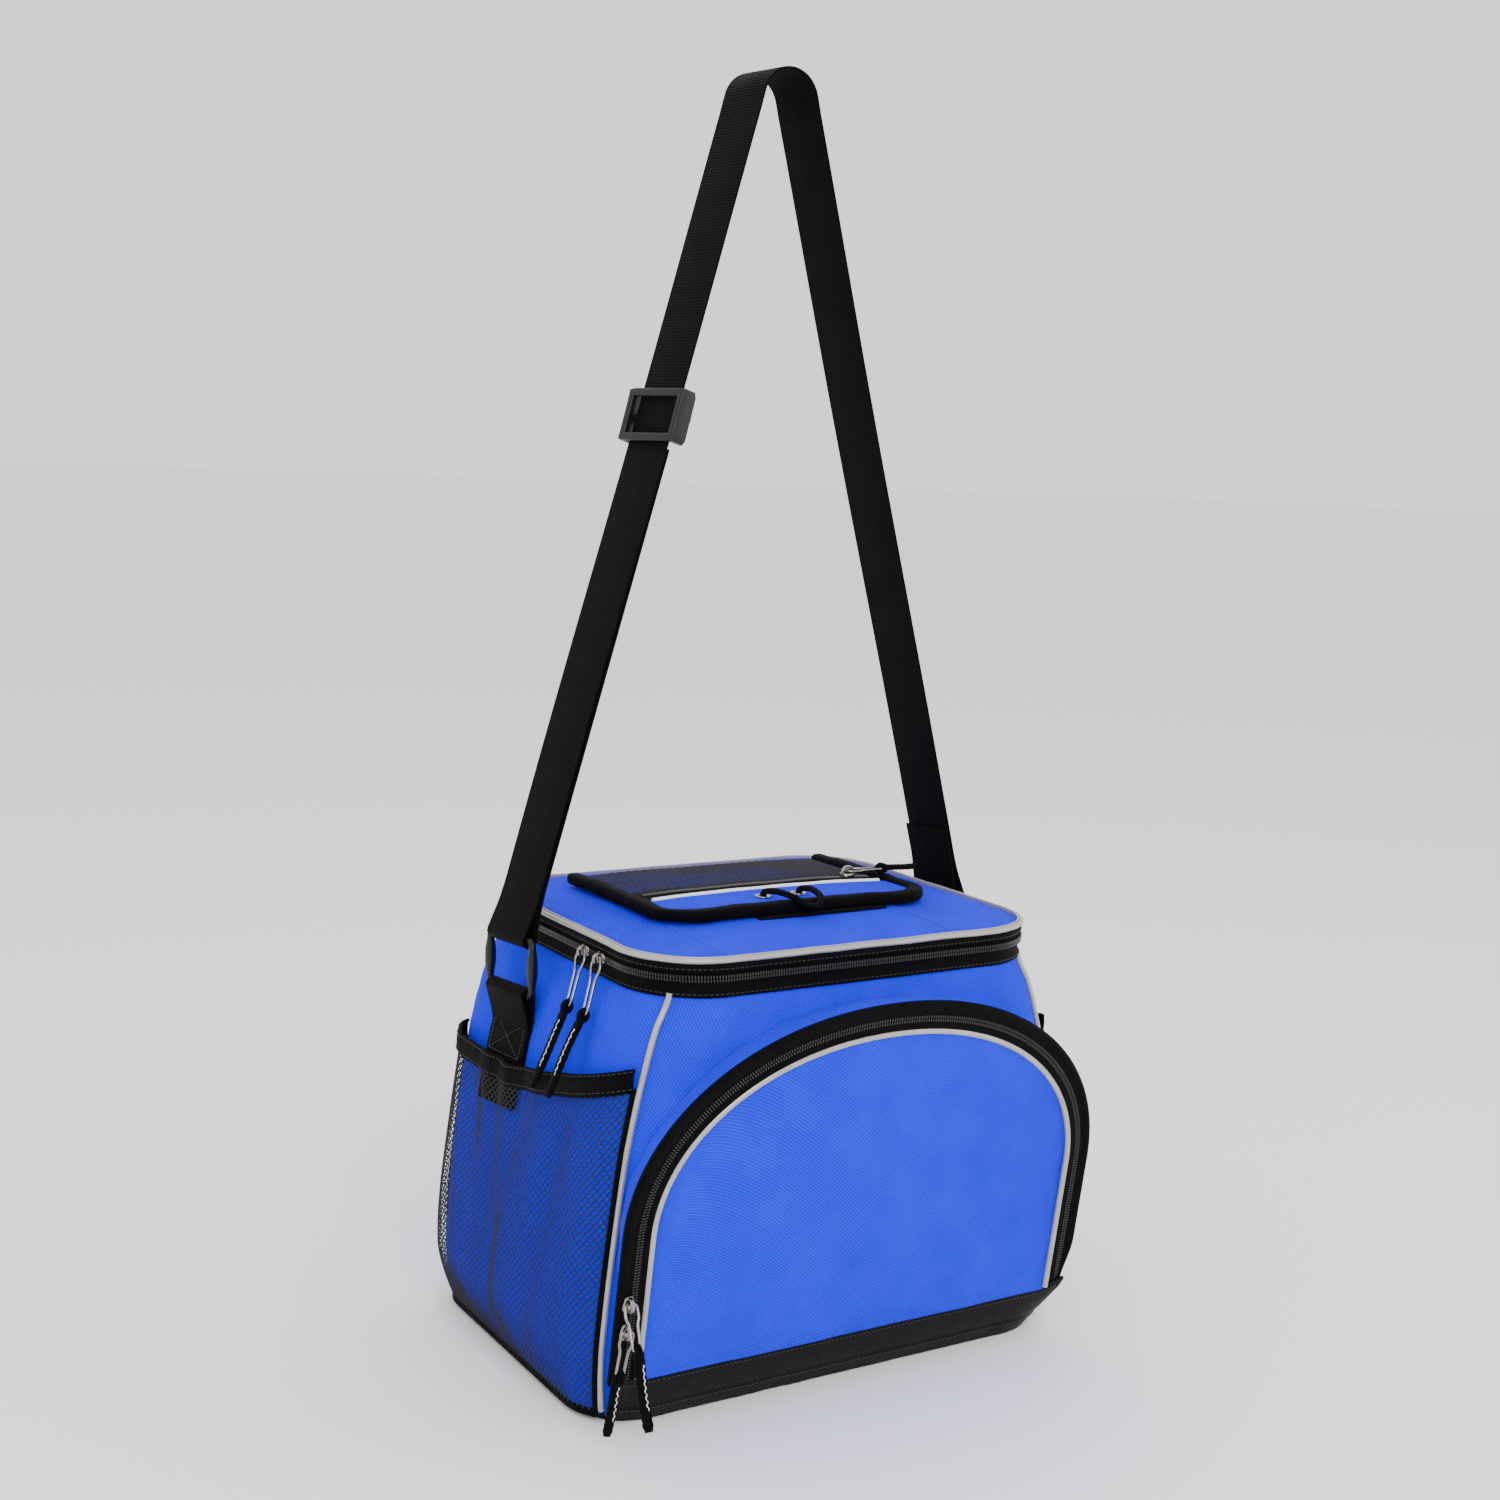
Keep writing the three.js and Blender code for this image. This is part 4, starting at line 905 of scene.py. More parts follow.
def make_pocket_panel():
    columns, rows = 150, 110
    inset = 17.6
    half = ARCH_HALF - inset
    rise = ARCH_TOP - ARCH_SHOULDER - inset
    grid = []
    for up in (1 - np.cos(np.linspace(0, math.pi, rows))) / 2:
        row = []
        for column in range(columns + 1):
            across = -math.cos(math.pi * column / columns)
            arch = max(0.0, 1 - abs(across) ** ARCH_POWER) ** (1 / ARCH_POWER)
            z = mix(ARCH_FOOT - 3, ARCH_SHOULDER + rise * arch, up)
            x = half * across
            row.append(np.array([x, face_y(z), z]) + FACE_OUT * panel_lift(x, z, across, up))
        grid.append(row)
    obj = sheet_mesh("pocket_face_cloth", grid, 3.0)
    finish_piece(obj, blue_cloth, "pocket_front", ["pocket_panel"], sharp=70)


def trim_reach(x):
    """The trim reaches the pocket's face across the front, and meets the body at its ends."""
    return smooth(172.5 - abs(x), 0, 7)


def make_front_trim():
    rows = []
    profile = ((0.2, 0.4), (1.5, 1.2), (5, 2.6), (9, 3.4), (10.6, 2.9), (12, 2.1), (13.4, 3.2),
               (16, 4.6), (22, 6.0), (28, 7.2), (32, 8.0), (33.4, 7.9), (34.2, 7.0), (34.3, 5.6))
    for z, lift in profile:
        row = []
        for share in np.linspace(0, 1, 170):
            across = side_place(FRONT, share, 34, gap=3.2)[0][0]
            rise = 2.5 * smooth(-across, 146, 158) + 6 * smooth(across, 144, 157)
            height = z + rise * smooth(z, 16, 34)
            point, out = side_place(FRONT, share, height, gap=3.2)
            ripple = 0.5 * wave((share * 16, z / 18, 4), 1.0) + 0.3 * wave((share * 60, z / 9, 9), 1.0)
            point = point + out * (0.8 + 0.35 * lift + ripple)
            forward = trim_reach(point[0]) * smooth(z, 2, 36) ** 1.2
            cover = face_y(height) - 0.12 * lift - 0.65 * rise * smooth(z, 16, 30)
            point[1] = mix(point[1], min(point[1], cover), forward)
            row.append(point)
        rows.append(row)
    obj = sheet_mesh("front_trim_cloth", rows, 1.6)
    finish_piece(obj, twill_cloth, "bag", ["front_trim"])
    grid = np.array(rows)
    normals = grid_normals(grid)
    for name, line, out in (("front_trim_stitches", (grid[9] + grid[10]) / 2, normals[10]),
                            ("front_trim_low_stitches", grid[3], normals[3])):
        stitches(name, line + out * 0.2, out, "bag", thread_black)


# ---- Lid -------------------------------------------------------------------------------

def dome(x, y):
    """The height of the lid's crowned top."""
    across = min(1.0, abs(x) / LID_HALF)
    along = min(1.0, abs(y) / LID_BACK)
    return LID_EDGE + LID_CROWN * (1 - across ** 3) * (1 - along ** 3)


LID_SEAMS = ((-97.0, -92.0), (58.0, 65.0))
# The opening under the flap: half width, front depth, back depth and corner radius.
LID_HOLE = (76, 36, 64, 12)
SEAM_RUN = 70
LID_STEPS = 80


def lid_lift(x, y, share):
    """Soft waves, a dip at each seam, and puckers along the piping."""
    lift = 0.9 * wave((x, y, 20), 52) + 0.45 * wave((x, y, 30), 20)
    lift -= 1.3 * math.exp(-share * 30)
    lift += 0.5 * math.sin((x + y) / 4.2 + 3 * wave((x, y, 2), 36)) * math.exp(-share * 12)
    if y < FLAP["front"]:
        for back, front in LID_SEAMS:
            at = mix(back, front, (FLAP["front"] - y) / SEAM_RUN)
            lift -= 1.1 * math.exp(-((x - at) / 1.5) ** 2)
            lift += 0.5 * math.exp(-((x - at) / 7) ** 2)
    return lift


def make_lid():
    outside, _ = full_loop(LID_EDGE, -1.0, LID_STEPS)
    hole, _ = full_loop(0, 0.0, LID_STEPS, LID_HOLE)
    rows = []
    for share in np.linspace(0, 1, 46) ** 1.15:
        row = outside * (1 - share) + hole * share
        row[:, 2] = [dome(x, y) + 0.3 + lid_lift(x, y, share) for x, y, _ in row]
        rows.append(row)
    obj = sheet_mesh("lid_cloth", rows, 1.2, wrap=True)
    finish_piece(obj, blue_cloth, "lid", ["lid_panel"])
    edge = [(x, y, dome(x, y) + 0.2) for x, y, _ in hole]
    hem = sweep("lid_opening_binding", edge, rounded(2.2, 7, 0.9), closed=True, hint=UP)
    finish_piece(hem, binding_tape, "lid")
    for i, (back, front) in enumerate(LID_SEAMS):
        line = []
        for t in np.linspace(0.0, 0.93, 40):
            y = FLAP["front"] - SEAM_RUN * t
            x = mix(back, front, t) + 2.6
            line.append((x, y, dome(x, y) + 0.75 + lid_lift(x, y, 0.5)))
        stitches(f"lid_seam_stitches_{i}", line, UP, "lid", thread_blue, thick=0.4)

    inside, _ = full_loop(LID_EDGE, -2.6, LID_STEPS)
    rows = []
    for share in np.linspace(0, 1, 26):
        row = hole * (1 - share) + inside * share
        row[:, 2] = [261.9 + 0.35 * wave((x, y, 3), 22) for x, y, _ in row]
        rows.append(row)
    obj = sheet_mesh("lid_liner_film", rows, 0.6, wrap=True)
    finish_piece(obj, foil, "lid", ["lid_liner"])


def make_lid_piping():
    loop, out = full_loop(LID_EDGE + 0.3, 0.9, LID_STEPS)
    path = loop + out * np.array([[0.3 * wave(p, 16)] for p in loop])
    path[:, 2] += [0.4 * wave(p, 28) for p in loop]
    sizes = [1 + 0.05 * wave(p, 7) for p in loop]
    piping("lid_piping_cord", path, out, PIPING - 0.25, -1.8 * out, (1.0, 4.2, 0.4), "lid",
           "lid_piping", sizes=sizes, closed=True)


def make_lid_hinge():
    """The cloth at the back that the lid turns on, running from the bag up to the lid."""
    rows = []
    for z, off in ((246, 1.2), (248, 2.3), (252, 2.6), (256, 2.3), (258.5, 2.1), (260.2, 2.1),
                   (262, 2.1), (264.5, 2.4), (266.6, 2.4), (267.2, 1.2)):
        rows.append([(x, LID_BACK + off + 0.3 * wave((x, z, 1), 18), z)
                     for x in np.linspace(84, -84, 110)])
    obj = sheet_mesh("lid_hinge_cloth", rows, 1.2)
    finish_piece(obj, binding_tape, None, ["lid_hinge_strip"])
    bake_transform(obj)


# ---- Flap on the lid -------------------------------------------------------------------

FLAP_NET_CELL = 3.1


def flap_place(x, y, lift):
    sag = 0.5 * wave((x, y, 60), 40)
    return np.array([x, y, dome(x, y) + lift + sag])


def dome_sheet(name, box, lift, thickness, material, nodes, corner=0.0, columns=80, rows=40):
    """A cloth that follows the dome. corner rounds its two front corners."""
    left, right, front, back = box
    grid = []
    for y in np.linspace(front, back, rows):
        trim = 0.0
        if corner and y < front + corner:
            trim = corner - math.sqrt(max(0.0, corner ** 2 - (front + corner - y) ** 2))
        grid.append([flap_place(x, y, lift) for x in np.linspace(left + trim, right - trim, columns)])
    obj = sheet_mesh(name, grid, thickness)
    finish_piece(obj, material, "flap", nodes)


def make_flap():
    cloth_box = (FLAP["left"] - 1, FLAP["right"] + 1, FLAP["front"] - 1, FLAP["back"])
    dome_sheet("flap_cloth", cloth_box, FLAP_TOP, 2.4, blue_cloth, ["flap_panel"],
               corner=FLAP_CORNER)
    dome_sheet("flap_front_cloth", (-88, 88, -48, -12), FLAP_TOP + 2.2, 1.3, blue_cloth,
               ["flap_front_strip"], corner=14, rows=24)
    top = FLAP_TOP + 0.4
    net_width, net_depth = 172, 66

    def net_place(across, up):
        return flap_place(-net_width / 2 + across * net_width, 10 + up * net_depth, top + 0.9), UP

    net("flap_net", int(net_width / FLAP_NET_CELL), int(net_depth / NET_CELL), 0.45, net_place, "flap",
        "flap_mesh")

    dome_sheet("flap_zip_cloth_front", (-87, 87, -9, 0.2), top + 1.5, 1.0, zip_tape,
               ["flap_zip_tape"], rows=14)
    dome_sheet("flap_zip_cloth_back", (-87, 87, 3.0, 13.5), top + 1.5, 1.0, zip_tape,
               [], rows=14)
    for name, y, flip in (("flap_zip_teeth_front", 0.6, 1), ("flap_zip_teeth_back", 2.6, -1)):
        line = [flap_place(x, y, top + 1.9) for x in np.linspace(-84, 84, 200)]
        teeth(name, line, UP, "flap", 2.3, flip=flip)
    line = [flap_place(x, 9.5, top + 1.65) for x in np.linspace(-86, 86, 160)]
    stitches("flap_zip_stitches", line, UP, "flap", thread_black)

    path = spline([flap_place(x, -10.6 + 0.5 * wave((x, 0, 0), 19), top + 1.7 + 0.3 * wave((x, 5, 0), 25))
                   for x in np.linspace(-84, 84, 40)], 160)
    # The flap's piping takes the lighter silver, a painted highlight on the same silver piping
    piping("flap_piping_cord", path, UP, 1.6, (0, -2.4, -0.8), (0.9, 5, 0.4), "flap", "flap_piping",
           silver_painted_highlight)
    line = [flap_place(x, -14.2, top + 2.2) for x in np.linspace(-84, 84, 160)]
    stitches("flap_front_stitches", line, UP, "flap", thread_blue, thick=0.4)
    make_flap_binding()
    make_eyelets()


def make_flap_binding():
    """A thick roll of tape round the flap's sides and front, wavy where it is gathered."""
    edge = BINDING + 0.9
    left, right, front = FLAP["left"] - edge, FLAP["right"] + edge, FLAP["front"] - edge
    bend = FLAP_CORNER + edge
    corners = []
    for centre, start in (((left + bend, front + bend), 2), ((right - bend, front + bend), 3)):
        corners.append([(centre[0] + bend * math.cos(QUARTER * (start + k / 5)),
                         centre[1] + bend * math.sin(QUARTER * (start + k / 5))) for k in range(6)])
    flat = [(left, 77), (left, 50), (left, 20), (left, -8), *corners[0], (-40, front), (0, front),
            (40, front), *corners[1], (right, -8), (right, 20), (right, 50), (right, 77)]
    path = spline([(x, y, dome(x, y) + FLAP_LIFT + BINDING + 0.4) for x, y in flat], 300)
    path[:, 2] += [0.9 * wave(p, 26) for p in path]
    path[:, 1] += [1.1 * wave(p + 90, 30) for p in path]
    sizes = [1 + 0.14 * wave(p, 15) + 0.04 * wave(p, 4) for p in path]
    inward = np.array([[-p[0], 30 - p[1], 0] for p in path])
    section = rounded(2 * BINDING + 3.2, 2 * BINDING + 1.4, 2.7, 4)
    obj = sweep("flap_binding_roll", path, section, hint=-inward, scale=sizes)
    finish_piece(obj, binding_tape, "flap", ["flap_binding"])
    inner = path + unit(inward) * 2.2
    inner[:, 2] += 3.2
    stitches("flap_binding_stitches", inner, UP, "flap", thread_black, pitch=3.4,
             long=2.4)


EYELET_Y = -32.0
EYELET_X = (-18.0, 8.0)


def make_eyelets():
    """The flap's two eyelets, and the elastic loop between them."""
    for x, name in zip(EYELET_X, ("left", "right")):
        turns = np.arange(40) * 2 * math.pi / 40
        z = dome(x, EYELET_Y) + FLAP_TOP + 2.7
        ring = np.stack([x + 4.0 * np.cos(turns), EYELET_Y + 4.0 * np.sin(turns), np.full(40, z)], 1)
        obj = sweep(f"eyelet_{name}_ring", ring, rounded(1.1, 2.4, 0.5), closed=True, hint=UP)
        finish_piece(obj, nickel, "flap", [f"eyelet_{name}"])
        disc = sweep(f"eyelet_{name}_shadow", [(x, EYELET_Y, z - 0.9), (x, EYELET_Y, z - 0.2)],
                     circle(3.4, 20))
        finish_piece(disc, black_plastic, "flap")
    first, second = EYELET_X
    lift = FLAP_TOP + 1.8
    route = [(first, EYELET_Y, 0.8), (first + 0.6, EYELET_Y - 2, 4.2), (first + 3, EYELET_Y - 13, 6),
             (first + 7, EYELET_Y - 26, 4.6), (first + 12, EYELET_Y - 32.5, 0.8),
             (second - 7, EYELET_Y - 32.5, 0.5), (second - 1, EYELET_Y - 27, 4),
             (second + 1, EYELET_Y - 14, 6), (second + 0.4, EYELET_Y - 3, 4.4),
             (second, EYELET_Y, 0.8)]
    route = spline([(x, y, dome(x, -40) + lift + up) for x, y, up in route], 120)
    obj = sweep("flap_pull_cord", route, circle(2.0, 12))
    finish_piece(obj, cord_cover, "flap", ["flap_pull_loop"])
    path_length(route) / 1000


def make_loop_strip():
    grid = []
    for y in np.linspace(-62, -42, 10):
        grid.append([(x, y, dome(x, y) + 1.6 + 0.3 * wave((x, y, 7), 12))
                     for x in np.linspace(-38, 55, 40)])
    obj = sheet_mesh("lid_hook_strip", grid, 1.2)
    finish_piece(obj, binding_tape, "lid", ["lid_loop_strip"])


# ---- Shoulder strap --------------------------------------------------------------------

WEB_SECTION = rounded(WEB_THICKNESS, WEB_WIDTH, 0.75, 3)
STRAP_ACROSS = np.array([-math.sin(STRAP_TURN), math.cos(STRAP_TURN), 0])
OUTER_LAYER = 1.1
INNER_LAYER = -1.1
LEG_START = np.array([-RING_X, RING_HIGH])
LEG_END = np.array([-APEX_RADIUS, APEX_Z])
LEG_LENGTH = float(np.linalg.norm(LEG_END - LEG_START))
LEG_ALONG = (LEG_END - LEG_START) / LEG_LENGTH
LEG_OUT = np.array([-LEG_ALONG[1], LEG_ALONG[0]])
LEAN = math.atan2(LEG_OUT[1], -LEG_OUT[0])
# The middle of the webbing turns round a ring's bar at this radius, clear of its corners.
TURN_RADIUS = math.hypot(RING_BAR / 2, RING_BAR / 2) + 0.7 + WEB_THICKNESS / 2


def webbing_strip(name, points, spacing, body, nodes):
    """Webbing along a smooth line through (x, z) points, in the strap's own turned plane."""
    line = np.array([(x, 0, z) for x, z in points])
    path = spline(line, max(8, int(path_length(line) / spacing))) + [0, STRAP_Y, 0]
    out = unit(np.cross(np.gradient(path, axis=0), STRAP_ACROSS))
    rings = path[:, None] + out[:, None] * WEB_SECTION[:, :1] + STRAP_ACROSS * WEB_SECTION[:, 1:]
    _, faces, uvs = sweep_data(path, WEB_SECTION)
    obj = make_mesh(name, rings.reshape(-1, 3), faces, uvs)
    finish_piece(obj, webbing, body, nodes)


def leg_point(sign, up, out):
    """A place (x, z) on a strap leg, from how far it is up the leg and off its middle."""
    point = LEG_START + LEG_ALONG * up + LEG_OUT * out
    return (-sign * point[0], point[1])


def half_turn(x, z, start, end, count=14):
    return [(x + TURN_RADIUS * math.cos(a), z + TURN_RADIUS * math.sin(a))
            for a in np.linspace(start, end, count)]


def fold_at_ring(sign, inner_end):
    """The webbing from its inner end, down and round the ring's top bar, to its outer layer."""
    path = [leg_point(sign, up, INNER_LAYER) for up in np.linspace(inner_end, 30, 26)]
    path += [leg_point(sign, 20, -1.8), leg_point(sign, 10, -3.0)]
    inside = -LEAN if sign < 0 else math.pi + LEAN
    outside = -math.pi - LEAN if sign < 0 else 2 * math.pi + LEAN
    path += half_turn(sign * RING_X, RING_HIGH, inside, outside)
    path += [leg_point(sign, 10, 3.0), leg_point(sign, 20, 1.8)]
    return path


def make_strap():
    heights = np.linspace(32, LEG_LENGTH - 6, 60)

    def leg(sign):
        return [leg_point(sign, up, OUTER_LAYER + 0.5 * math.sin(up / 70)) for up in heights]

    radius = APEX_RADIUS + OUTER_LAYER
    top = [(math.cos(a) * radius, APEX_Z + math.sin(a) * radius)
           for a in np.linspace(math.pi - LEAN, LEAN, 16)]
    left = fold_at_ring(-1, LEG_LENGTH * BUCKLE_SHARE - 20) + leg(-1)
    right = fold_at_ring(1, 50) + leg(1)
    webbing_strip("strap_webbing", left + top + right[::-1], 3.0, "strap",
                  ["strap_leg_left", "strap_leg_right"])


def box_stitches(name, centre, out, up, width, height, body):
    """A sewn box with a cross in it."""
    side = np.cross(up, out)
    corners = [centre + side * a * width / 2 + up * b * height / 2
               for a, b in ((-1, -1), (1, -1), (1, 1), (-1, 1))]
    places, axes = [], []
    lines = [(0, 1), (1, 2), (2, 3), (3, 0), (0, 2), (1, 3)]
    for start, end in lines:
        line = np.linspace(corners[start], corners[end], 12)
        at, frames = along_path(line, 2.7, hint=out)
        places.append(at)
        axes.append(frames)
    obj = make_mesh(name, *scattered(pebble(2.1, 0.6, 0.5), np.concatenate(places),
                                     np.concatenate(axes)))
    return finish_piece(obj, thread_black, body)


def make_tab(name, sign):
    """Webbing sewn to the wall, folded round the lower bar of a ring."""
    def outward(z, off):
        return sign * (outline_at(z)[0] + off)

    layer = WEB_THICKNESS + 0.4
    path = [(outward(z, 4.6 + layer), z) for z in (154, 165, 175, 186, 196)]
    path.append((outward(205, 5.4 + layer), 205))
    start, end = (0, math.pi) if sign > 0 else (math.pi, 0)
    path += half_turn(sign * RING_X, RING_LOW, start, end, 12)
    path += [(outward(z, 4.6), z) for z in (205, 196, 186, 170)]
    webbing_strip(f"strap_tab_{name}_webbing", path, 2.0, "bag", [f"strap_tab_{name}"])
    low, high = (np.array([outward(z, 4.6 + layer + 1.0), STRAP_Y, z]) for z in (186, 206))
    up = unit(high - low)
    out = np.cross(STRAP_ACROSS, up) * sign
    box_stitches(f"strap_tab_{name}_stitches", (low + high) / 2, out, up, 31, 22, "bag")


def make_ring(name, sign):
    outline = rounded(RING_WIDTH - RING_BAR, RING_HEIGHT - RING_BAR, 5, 6)
    loop = spline([(a, b, 0) for a, b in outline], 80, closed=True)
    centre = np.array([sign * RING_X, STRAP_Y, RING_LOW + (RING_HEIGHT - RING_BAR) / 2])
    path = centre + loop[:, :1] * STRAP_ACROSS + loop[:, 1:2] * UP
    sizes = [1 + 0.5 * smooth(1 - abs(b) / 13, 0, 0.8) * (abs(a) > 19) for a, b, _ in loop]
    obj = sweep(f"strap_ring_{name}_frame", path, rounded(3.8, 4.2, 1.3), closed=True,
                hint=np.cross(STRAP_ACROSS, UP), scale=sizes)
    finish_piece(obj, black_plastic, "strap", [f"strap_ring_{name}"])


def make_buckle():
    """The strap's length adjuster: a rounded frame in front, and a bar behind the webbing."""
    at = leg_point(-1, LEG_LENGTH * BUCKLE_SHARE, 0)
    centre = np.array([at[0], STRAP_Y, at[1]])
    out = np.array([LEG_OUT[0], 0, LEG_OUT[1]])
    up = np.array([LEG_ALONG[0], 0, LEG_ALONG[1]])
    twist = np.array(Matrix.Rotation(STRAP_TURN, 3, "Z"))
    out, up = twist @ out, twist @ up
    across = np.cross(out, up)
    reach, bar_depth, gap = 25.6, 3.2, 0.9
    front = OUTER_LAYER + WEB_THICKNESS / 2 + gap + bar_depth / 2
    behind = INNER_LAYER - WEB_THICKNESS / 2 - gap - bar_depth / 2
    parts = []

    def bar(start, end, depth, width):
        ends = [centre + across * a + up * b + out * c for a, b, c in (start, end)]
        path = np.linspace(ends[0], ends[1], 12)
        size = np.ones(12)
        size[0] = size[-1] = 0.8
        parts.append(sweep_data(path, rounded(depth, width, 1.2), hint=out, scale=size))

    for b in (-14, 14):
        bar((-reach, b, front), (reach, b, front), bar_depth, 5.2)
    bar((-reach, 0, behind), (reach, 0, behind), bar_depth, 6)
    middle = (front + behind) / 2
    for a in (-23.6, 23.6):
        bar((a, -16.4, middle), (a, 16.4, middle), front - behind + 3, 4.6)
    obj = make_mesh("strap_adjuster", *merge(parts))
    finish_piece(obj, black_plastic, "buckle", ["strap_buckle"])


# ---- Zipper sliders and pulls ----------------------------------------------------------

SLIDER_UP = 3.7


def slider_parts(across):
    """A slider in its own axes: the zipper runs along X, and Z points away from it."""
    half_length, half_width, sides = 5.2, 3.7, 28
    rows = []
    for rise, grow in ((0, 0.86), (0.5, 1.0), (1.9, 0.98), (2.3, 0.86), (2.0, 0.62), (1.5, 0.05)):
        ring = []
        for k in range(sides):
            turn = 2 * math.pi * k / sides
            x = half_length * math.copysign(abs(math.cos(turn)) ** 0.75, math.cos(turn))
            y = half_width * math.copysign(abs(math.sin(turn)) ** 0.8, math.sin(turn))
            y *= 1 - 0.22 * (x / half_length)
            ring.append((x * grow, y * grow, rise))
        rows.append(ring)
    points = np.array(rows).reshape(-1, 3)
    faces = []
    for r in range(len(rows) - 1):
        for k in range(sides):
            a, b = r * sides + k, r * sides + (k + 1) % sides
            faces.append([a, b, b + sides, a + sides])
    faces.append(list(range(sides))[::-1])
    faces.append([(len(rows) - 1) * sides + k for k in range(sides)])
    uvs = [(0.0, 0.0)] * sum(len(f) for f in faces)
    reach = 3.2 if across else 4.2
    arch = [(-reach, 0, 1.6), (-reach * 0.86, 0, 4.4), (-reach * 0.4, 0, 6.2), (reach * 0.4, 0, 6.2),
            (reach * 0.86, 0, 4.4), (reach, 0, 1.6)]
    if across:
        arch = [(y, x, z) for x, y, z in arch]
    bridge = sweep_data(spline(arch, 24), rounded(1.3, 2.4, 0.5), hint=UP)
    return merge([(points, faces, uvs), bridge])


def placed(data, at, axes):
    """Data from a piece's own axes (columns of axes) to its place on the bag."""
    points, faces, uvs = data
    return points @ np.array(axes) + at, faces, uvs


def make_pull(name, pivot, down, face, length, body, lean, metal):
    """A keyhole loop of wire on the slider's bridge, and a sewn cord on its end. lean is how
    far the wire's foot stands to one side, and metal is the wire's length."""
    side = unit(np.cross(face, down))
    face = np.cross(down, side)
    axes = np.array([side, down, face])

    def put(points):
        points = np.array(points, float)
        points[:, 0] += lean * np.clip(points[:, 1] / (metal - 4), 0, 1)
        return points @ axes + pivot

    head = 10.5 * metal / 32
    half = [(3.4, -0.2), (head / 2, head * 0.42), (3.9, head * 0.86), (2.7, head + 2.4),
            (2.5, metal - 6), (2.1, metal - 0.8)]
    loop = [(0, -1.4), *half, (0, metal + 0.2), *[(-x, y) for x, y in half[::-1]]]
    wire = spline([(x, y, 0) for x, y in loop], 72, closed=True)
    obj = make_mesh(f"{name}_wire", *sweep_data(put(wire), circle(0.85, 10), closed=True,
                                                hint=face))
    finish_piece(obj, nickel, body, [f"{name}_pull"])

    start, end = metal - 3.5, length + 1.0
    width = min(6.2, (end - start) / 6.4)
    bend = 1.6 * wave((length, pivot[1], pivot[2]), 9.0)
    middle = []
    for share in np.linspace(0, 1, 60):
        y = mix(start, end, share)
        x = 1.9 * bend * math.sin(math.pi * share) + 0.6 * math.sin(6 * share + pivot[1])
        middle.append((x, y, 0.35 * math.sin(5 * share) + 0.5 * abs(lean) * smooth(share)))
    path = put(middle)
    sizes = [mix(0.62, 1.0, smooth(s, 0, 0.12)) * mix(1.0, 0.75, smooth(s, 0.93, 1))
             * (1 + 0.05 * math.sin(s * 70)) for s in np.linspace(0, 1, 60)]
    sleeve = sweep_data(path, rounded(3.6, width, 1.6, 4), hint=face, scale=sizes)
    loops = []
    for offset in (-1.1, 1.1):
        knot = [(offset, metal + rise, out) for rise, out in
                ((4, 1.5), (0.6, 2.5), (-1.6, 1.6), (-2.4, 0), (-1.6, -1.6), (0.6, -2.5), (4, -1.5))]
        loops.append(sweep_data(put(spline(knot, 26)), circle(1.15, 8)))
    cord = make_mesh(f"{name}_cord", *sleeve)
    finish_piece(cord, cord_cover, body)
    strands = make_mesh(f"{name}_cord_loop", *merge(loops))
    finish_piece(strands, cord_cover, body)

    at, frames = along_path(path[14:46] + face * 1.65, 1.9, hint=face)
    zigzag = frames[:, 1] * np.where(np.arange(len(at)) % 2 == 0, 1.35, 0.75)[:, None]
    marks = make_mesh(f"{name}_marks", *scattered(pebble(2.1, 0.75, 0.7), at + zigzag, frames))
    finish_piece(marks, thread_white, body)
    path_length(path) / 1000


def make_slider(name, at, along, out, down, length, lean=0.0, metal=24.0):
    along, out, down = (unit(np.array(v, float)) for v in (along, out, down))
    across = np.cross(out, along)
    hangs_across = abs(down.dot(along)) < 0.5
    data = placed(slider_parts(hangs_across), np.array(at), [along, across, out])
    obj = make_mesh(f"{name}_slider_body", *data)
    finish_piece(obj, nickel, f"{name}_slider", [f"{name}_slider"], sharp=50)
    make_pull(name, np.array(at) + out * SLIDER_UP, down, out, length, f"{name}_pull", lean, metal)


def make_sliders():
    lid_x = -(LID_HALF + 1.3)
    drape = (-0.4, 0, -1)
    make_slider("lid_left", (lid_x, -34, SPLIT), (0, -1, 0), (-1, 0, 0), drape, 82, 6.5, 32)
    make_slider("lid_right", (lid_x, -54, SPLIT), (0, -1, 0), (-1, 0, 0), drape, 82, 7.5, 32)
    chain_x = -(ARCH_HALF - CHAIN + 4.0)
    up_face = (0, -FACE_SLOPE, 1)

    def on_chain(z):
        return np.array([chain_x, face_y(z), z]) + FACE_OUT * 2.2

    make_slider("pocket_upper", on_chain(85), up_face, FACE_OUT, (-0.05, -0.5, -1), 66)
    make_slider("pocket_lower", on_chain(68), up_face, FACE_OUT, (-0.24, -0.08, -1), 56)
    flap_z = dome(0, 1.6) + FLAP_TOP + 2.2
    make_slider("flap", (68, 1.6, flap_z), (1, 0, 0), (0, 0, 1), (1, -0.12, 0.02), 50)


# ---- Floor, light and camera -----------------------------------------------------------

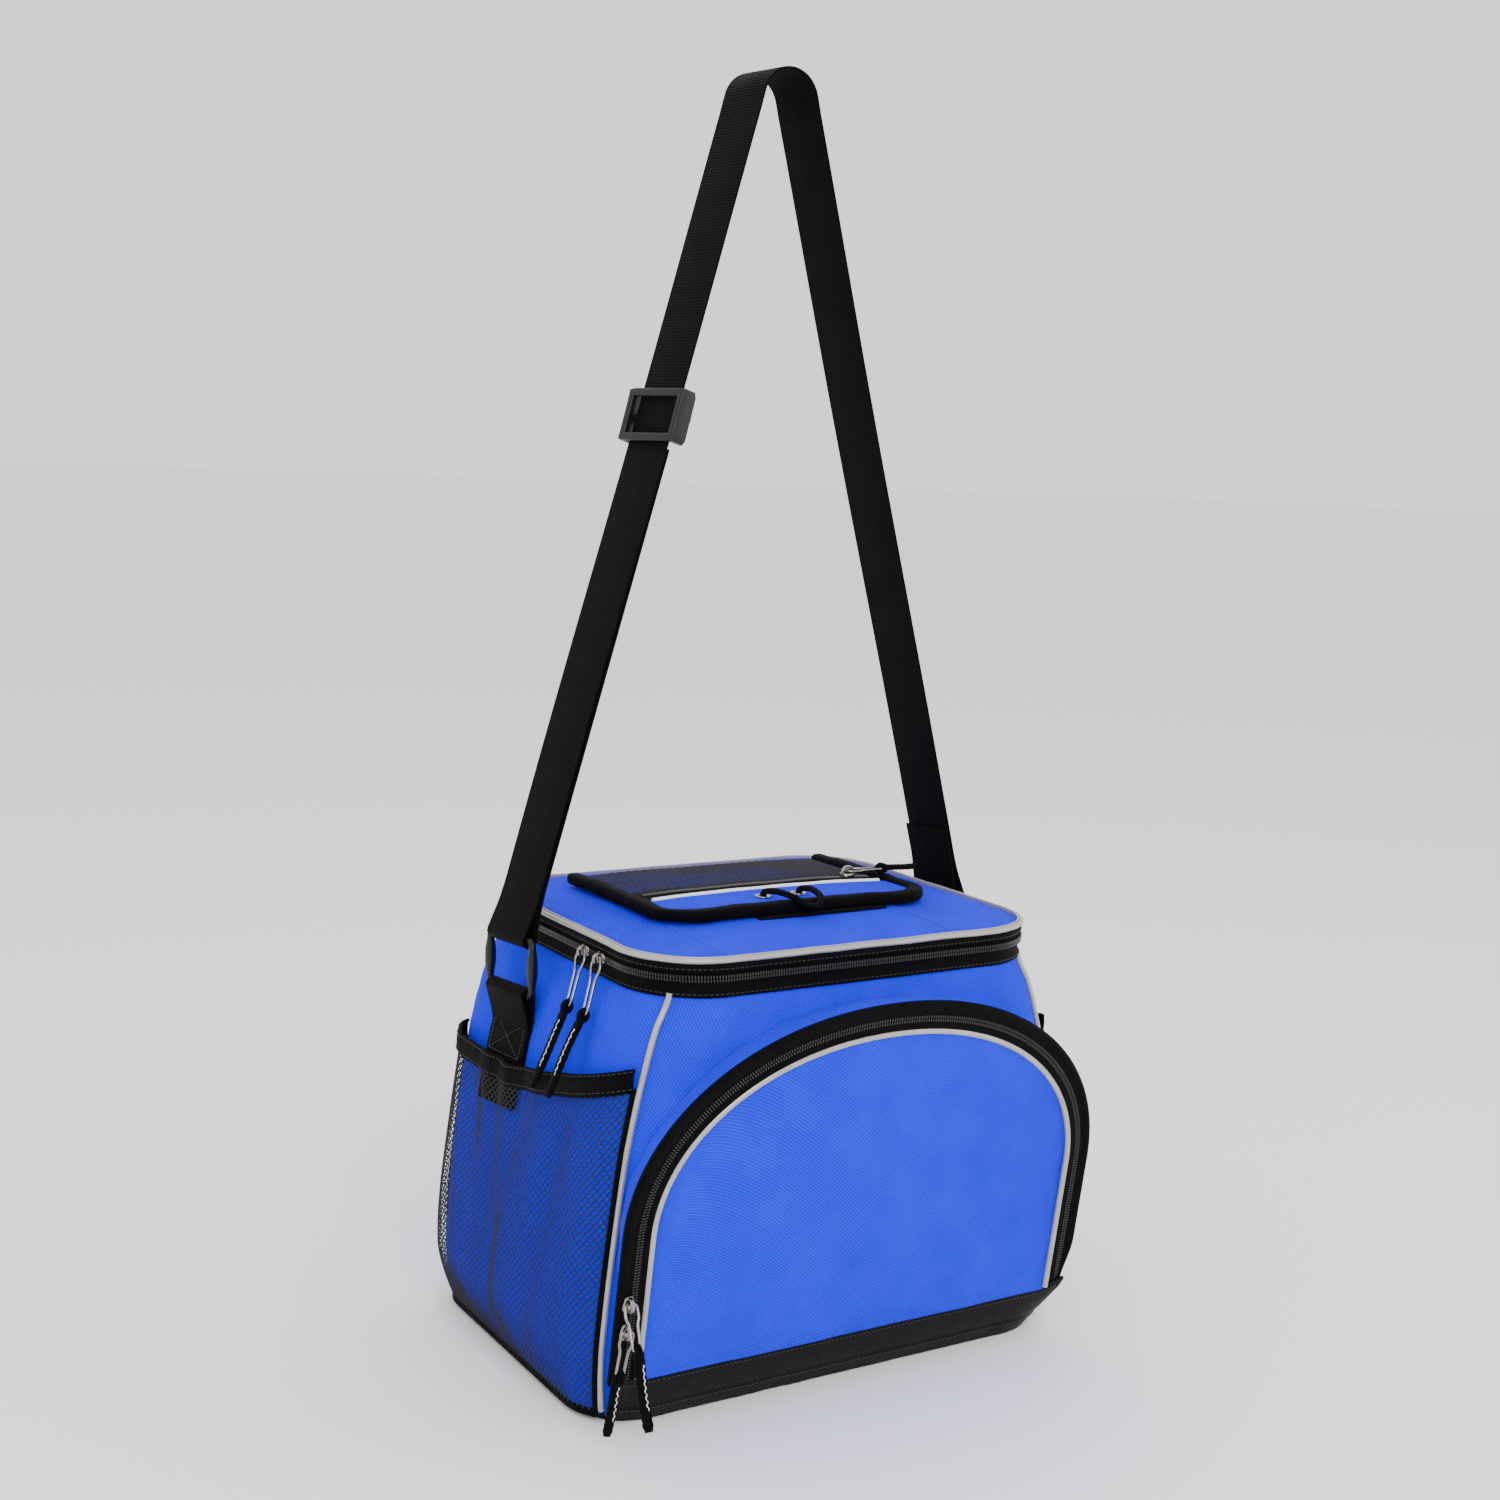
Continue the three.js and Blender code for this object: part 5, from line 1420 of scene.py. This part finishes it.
def make_stage():
    floor_shader = Shader("floor", (0.93, 0.93, 0.93), 0.8)
    size = 40.0
    mesh = bpy.data.meshes.new("floor")
    mesh.from_pydata([(-size, -size, -0.0006), (size, -size, -0.0006), (size, size, -0.0006),
                      (-size, size, -0.0006)], [], [[0, 1, 2, 3]])
    floor = bpy.data.objects.new("floor", mesh)
    bpy.context.scene.collection.objects.link(floor)
    mesh.materials.append(floor_shader.material)

    world = bpy.data.worlds.new("studio")
    world.use_nodes = True
    background = world.node_tree.nodes["Background"]
    background.inputs["Color"].default_value = (1, 1, 1, 1)
    background.inputs["Strength"].default_value = 1.35
    bpy.context.scene.world = world

    target = Vector((0, 0, 0.16))
    for name, place, size, power in (("key", (-0.7, -1.9, 1.5), 1.2, 34),
                                     ("fill", (1.7, -1.2, 0.9), 1.4, 10),
                                     ("top", (0.2, 0.5, 2.0), 1.3, 8),
                                     ("left", (-1.9, 0.2, 0.8), 1.1, 3)):
        lamp = bpy.data.lights.new(name, "AREA")
        lamp.size = size
        lamp.energy = power
        obj = bpy.data.objects.new(name, lamp)
        obj.location = place
        obj.rotation_euler = (target - Vector(place)).to_track_quat("-Z", "Y").to_euler()
        bpy.context.scene.collection.objects.link(obj)


def make_camera():
    azimuth, pitch, roll = math.radians(-31.38), math.radians(8.06), math.radians(2.2)
    forward = Vector((-math.sin(azimuth) * math.cos(pitch), math.cos(azimuth) * math.cos(pitch),
                      -math.sin(pitch)))
    right = forward.cross(Vector((0, 0, 1))).normalized()
    up = right.cross(forward)
    turned_right = right * math.cos(roll) + up * math.sin(roll)
    turned_up = up * math.cos(roll) - right * math.sin(roll)
    lens = bpy.data.cameras.new("camera")
    lens.sensor_width = 36
    lens.lens = 48.72
    lens.shift_x = 0.0083
    lens.shift_y = -0.0005
    camera = bpy.data.objects.new("camera", lens)
    axes = Matrix((turned_right, turned_up, -forward)).transposed()
    camera.matrix_world = Matrix.Translation((-0.67454, -1.07186, 0.54805)) @ axes.to_4x4()
    bpy.context.scene.collection.objects.link(camera)
    bpy.context.scene.camera = camera


make_camera()
make_stage()
make_walls()
make_corner_pipings()
make_base()
shade_cad_pieces()
make_liner()
make_body_zip()
for pocket_name, pocket_side in (("left", LEFT), ("right", RIGHT)):
    make_pocket_net(pocket_name, pocket_side)
    make_pocket_edges(pocket_name, pocket_side)
make_gusset()
make_pocket_zip()
make_pocket_piping()
make_pocket_panel()
make_front_trim()
make_lid()
make_lid_piping()
make_lid_hinge()
make_flap()
make_loop_strip()
make_strap()
for ring_name, ring_sign in (("left", -1), ("right", 1)):
    make_tab(ring_name, ring_sign)
    make_ring(ring_name, ring_sign)
make_buckle()
make_sliders()
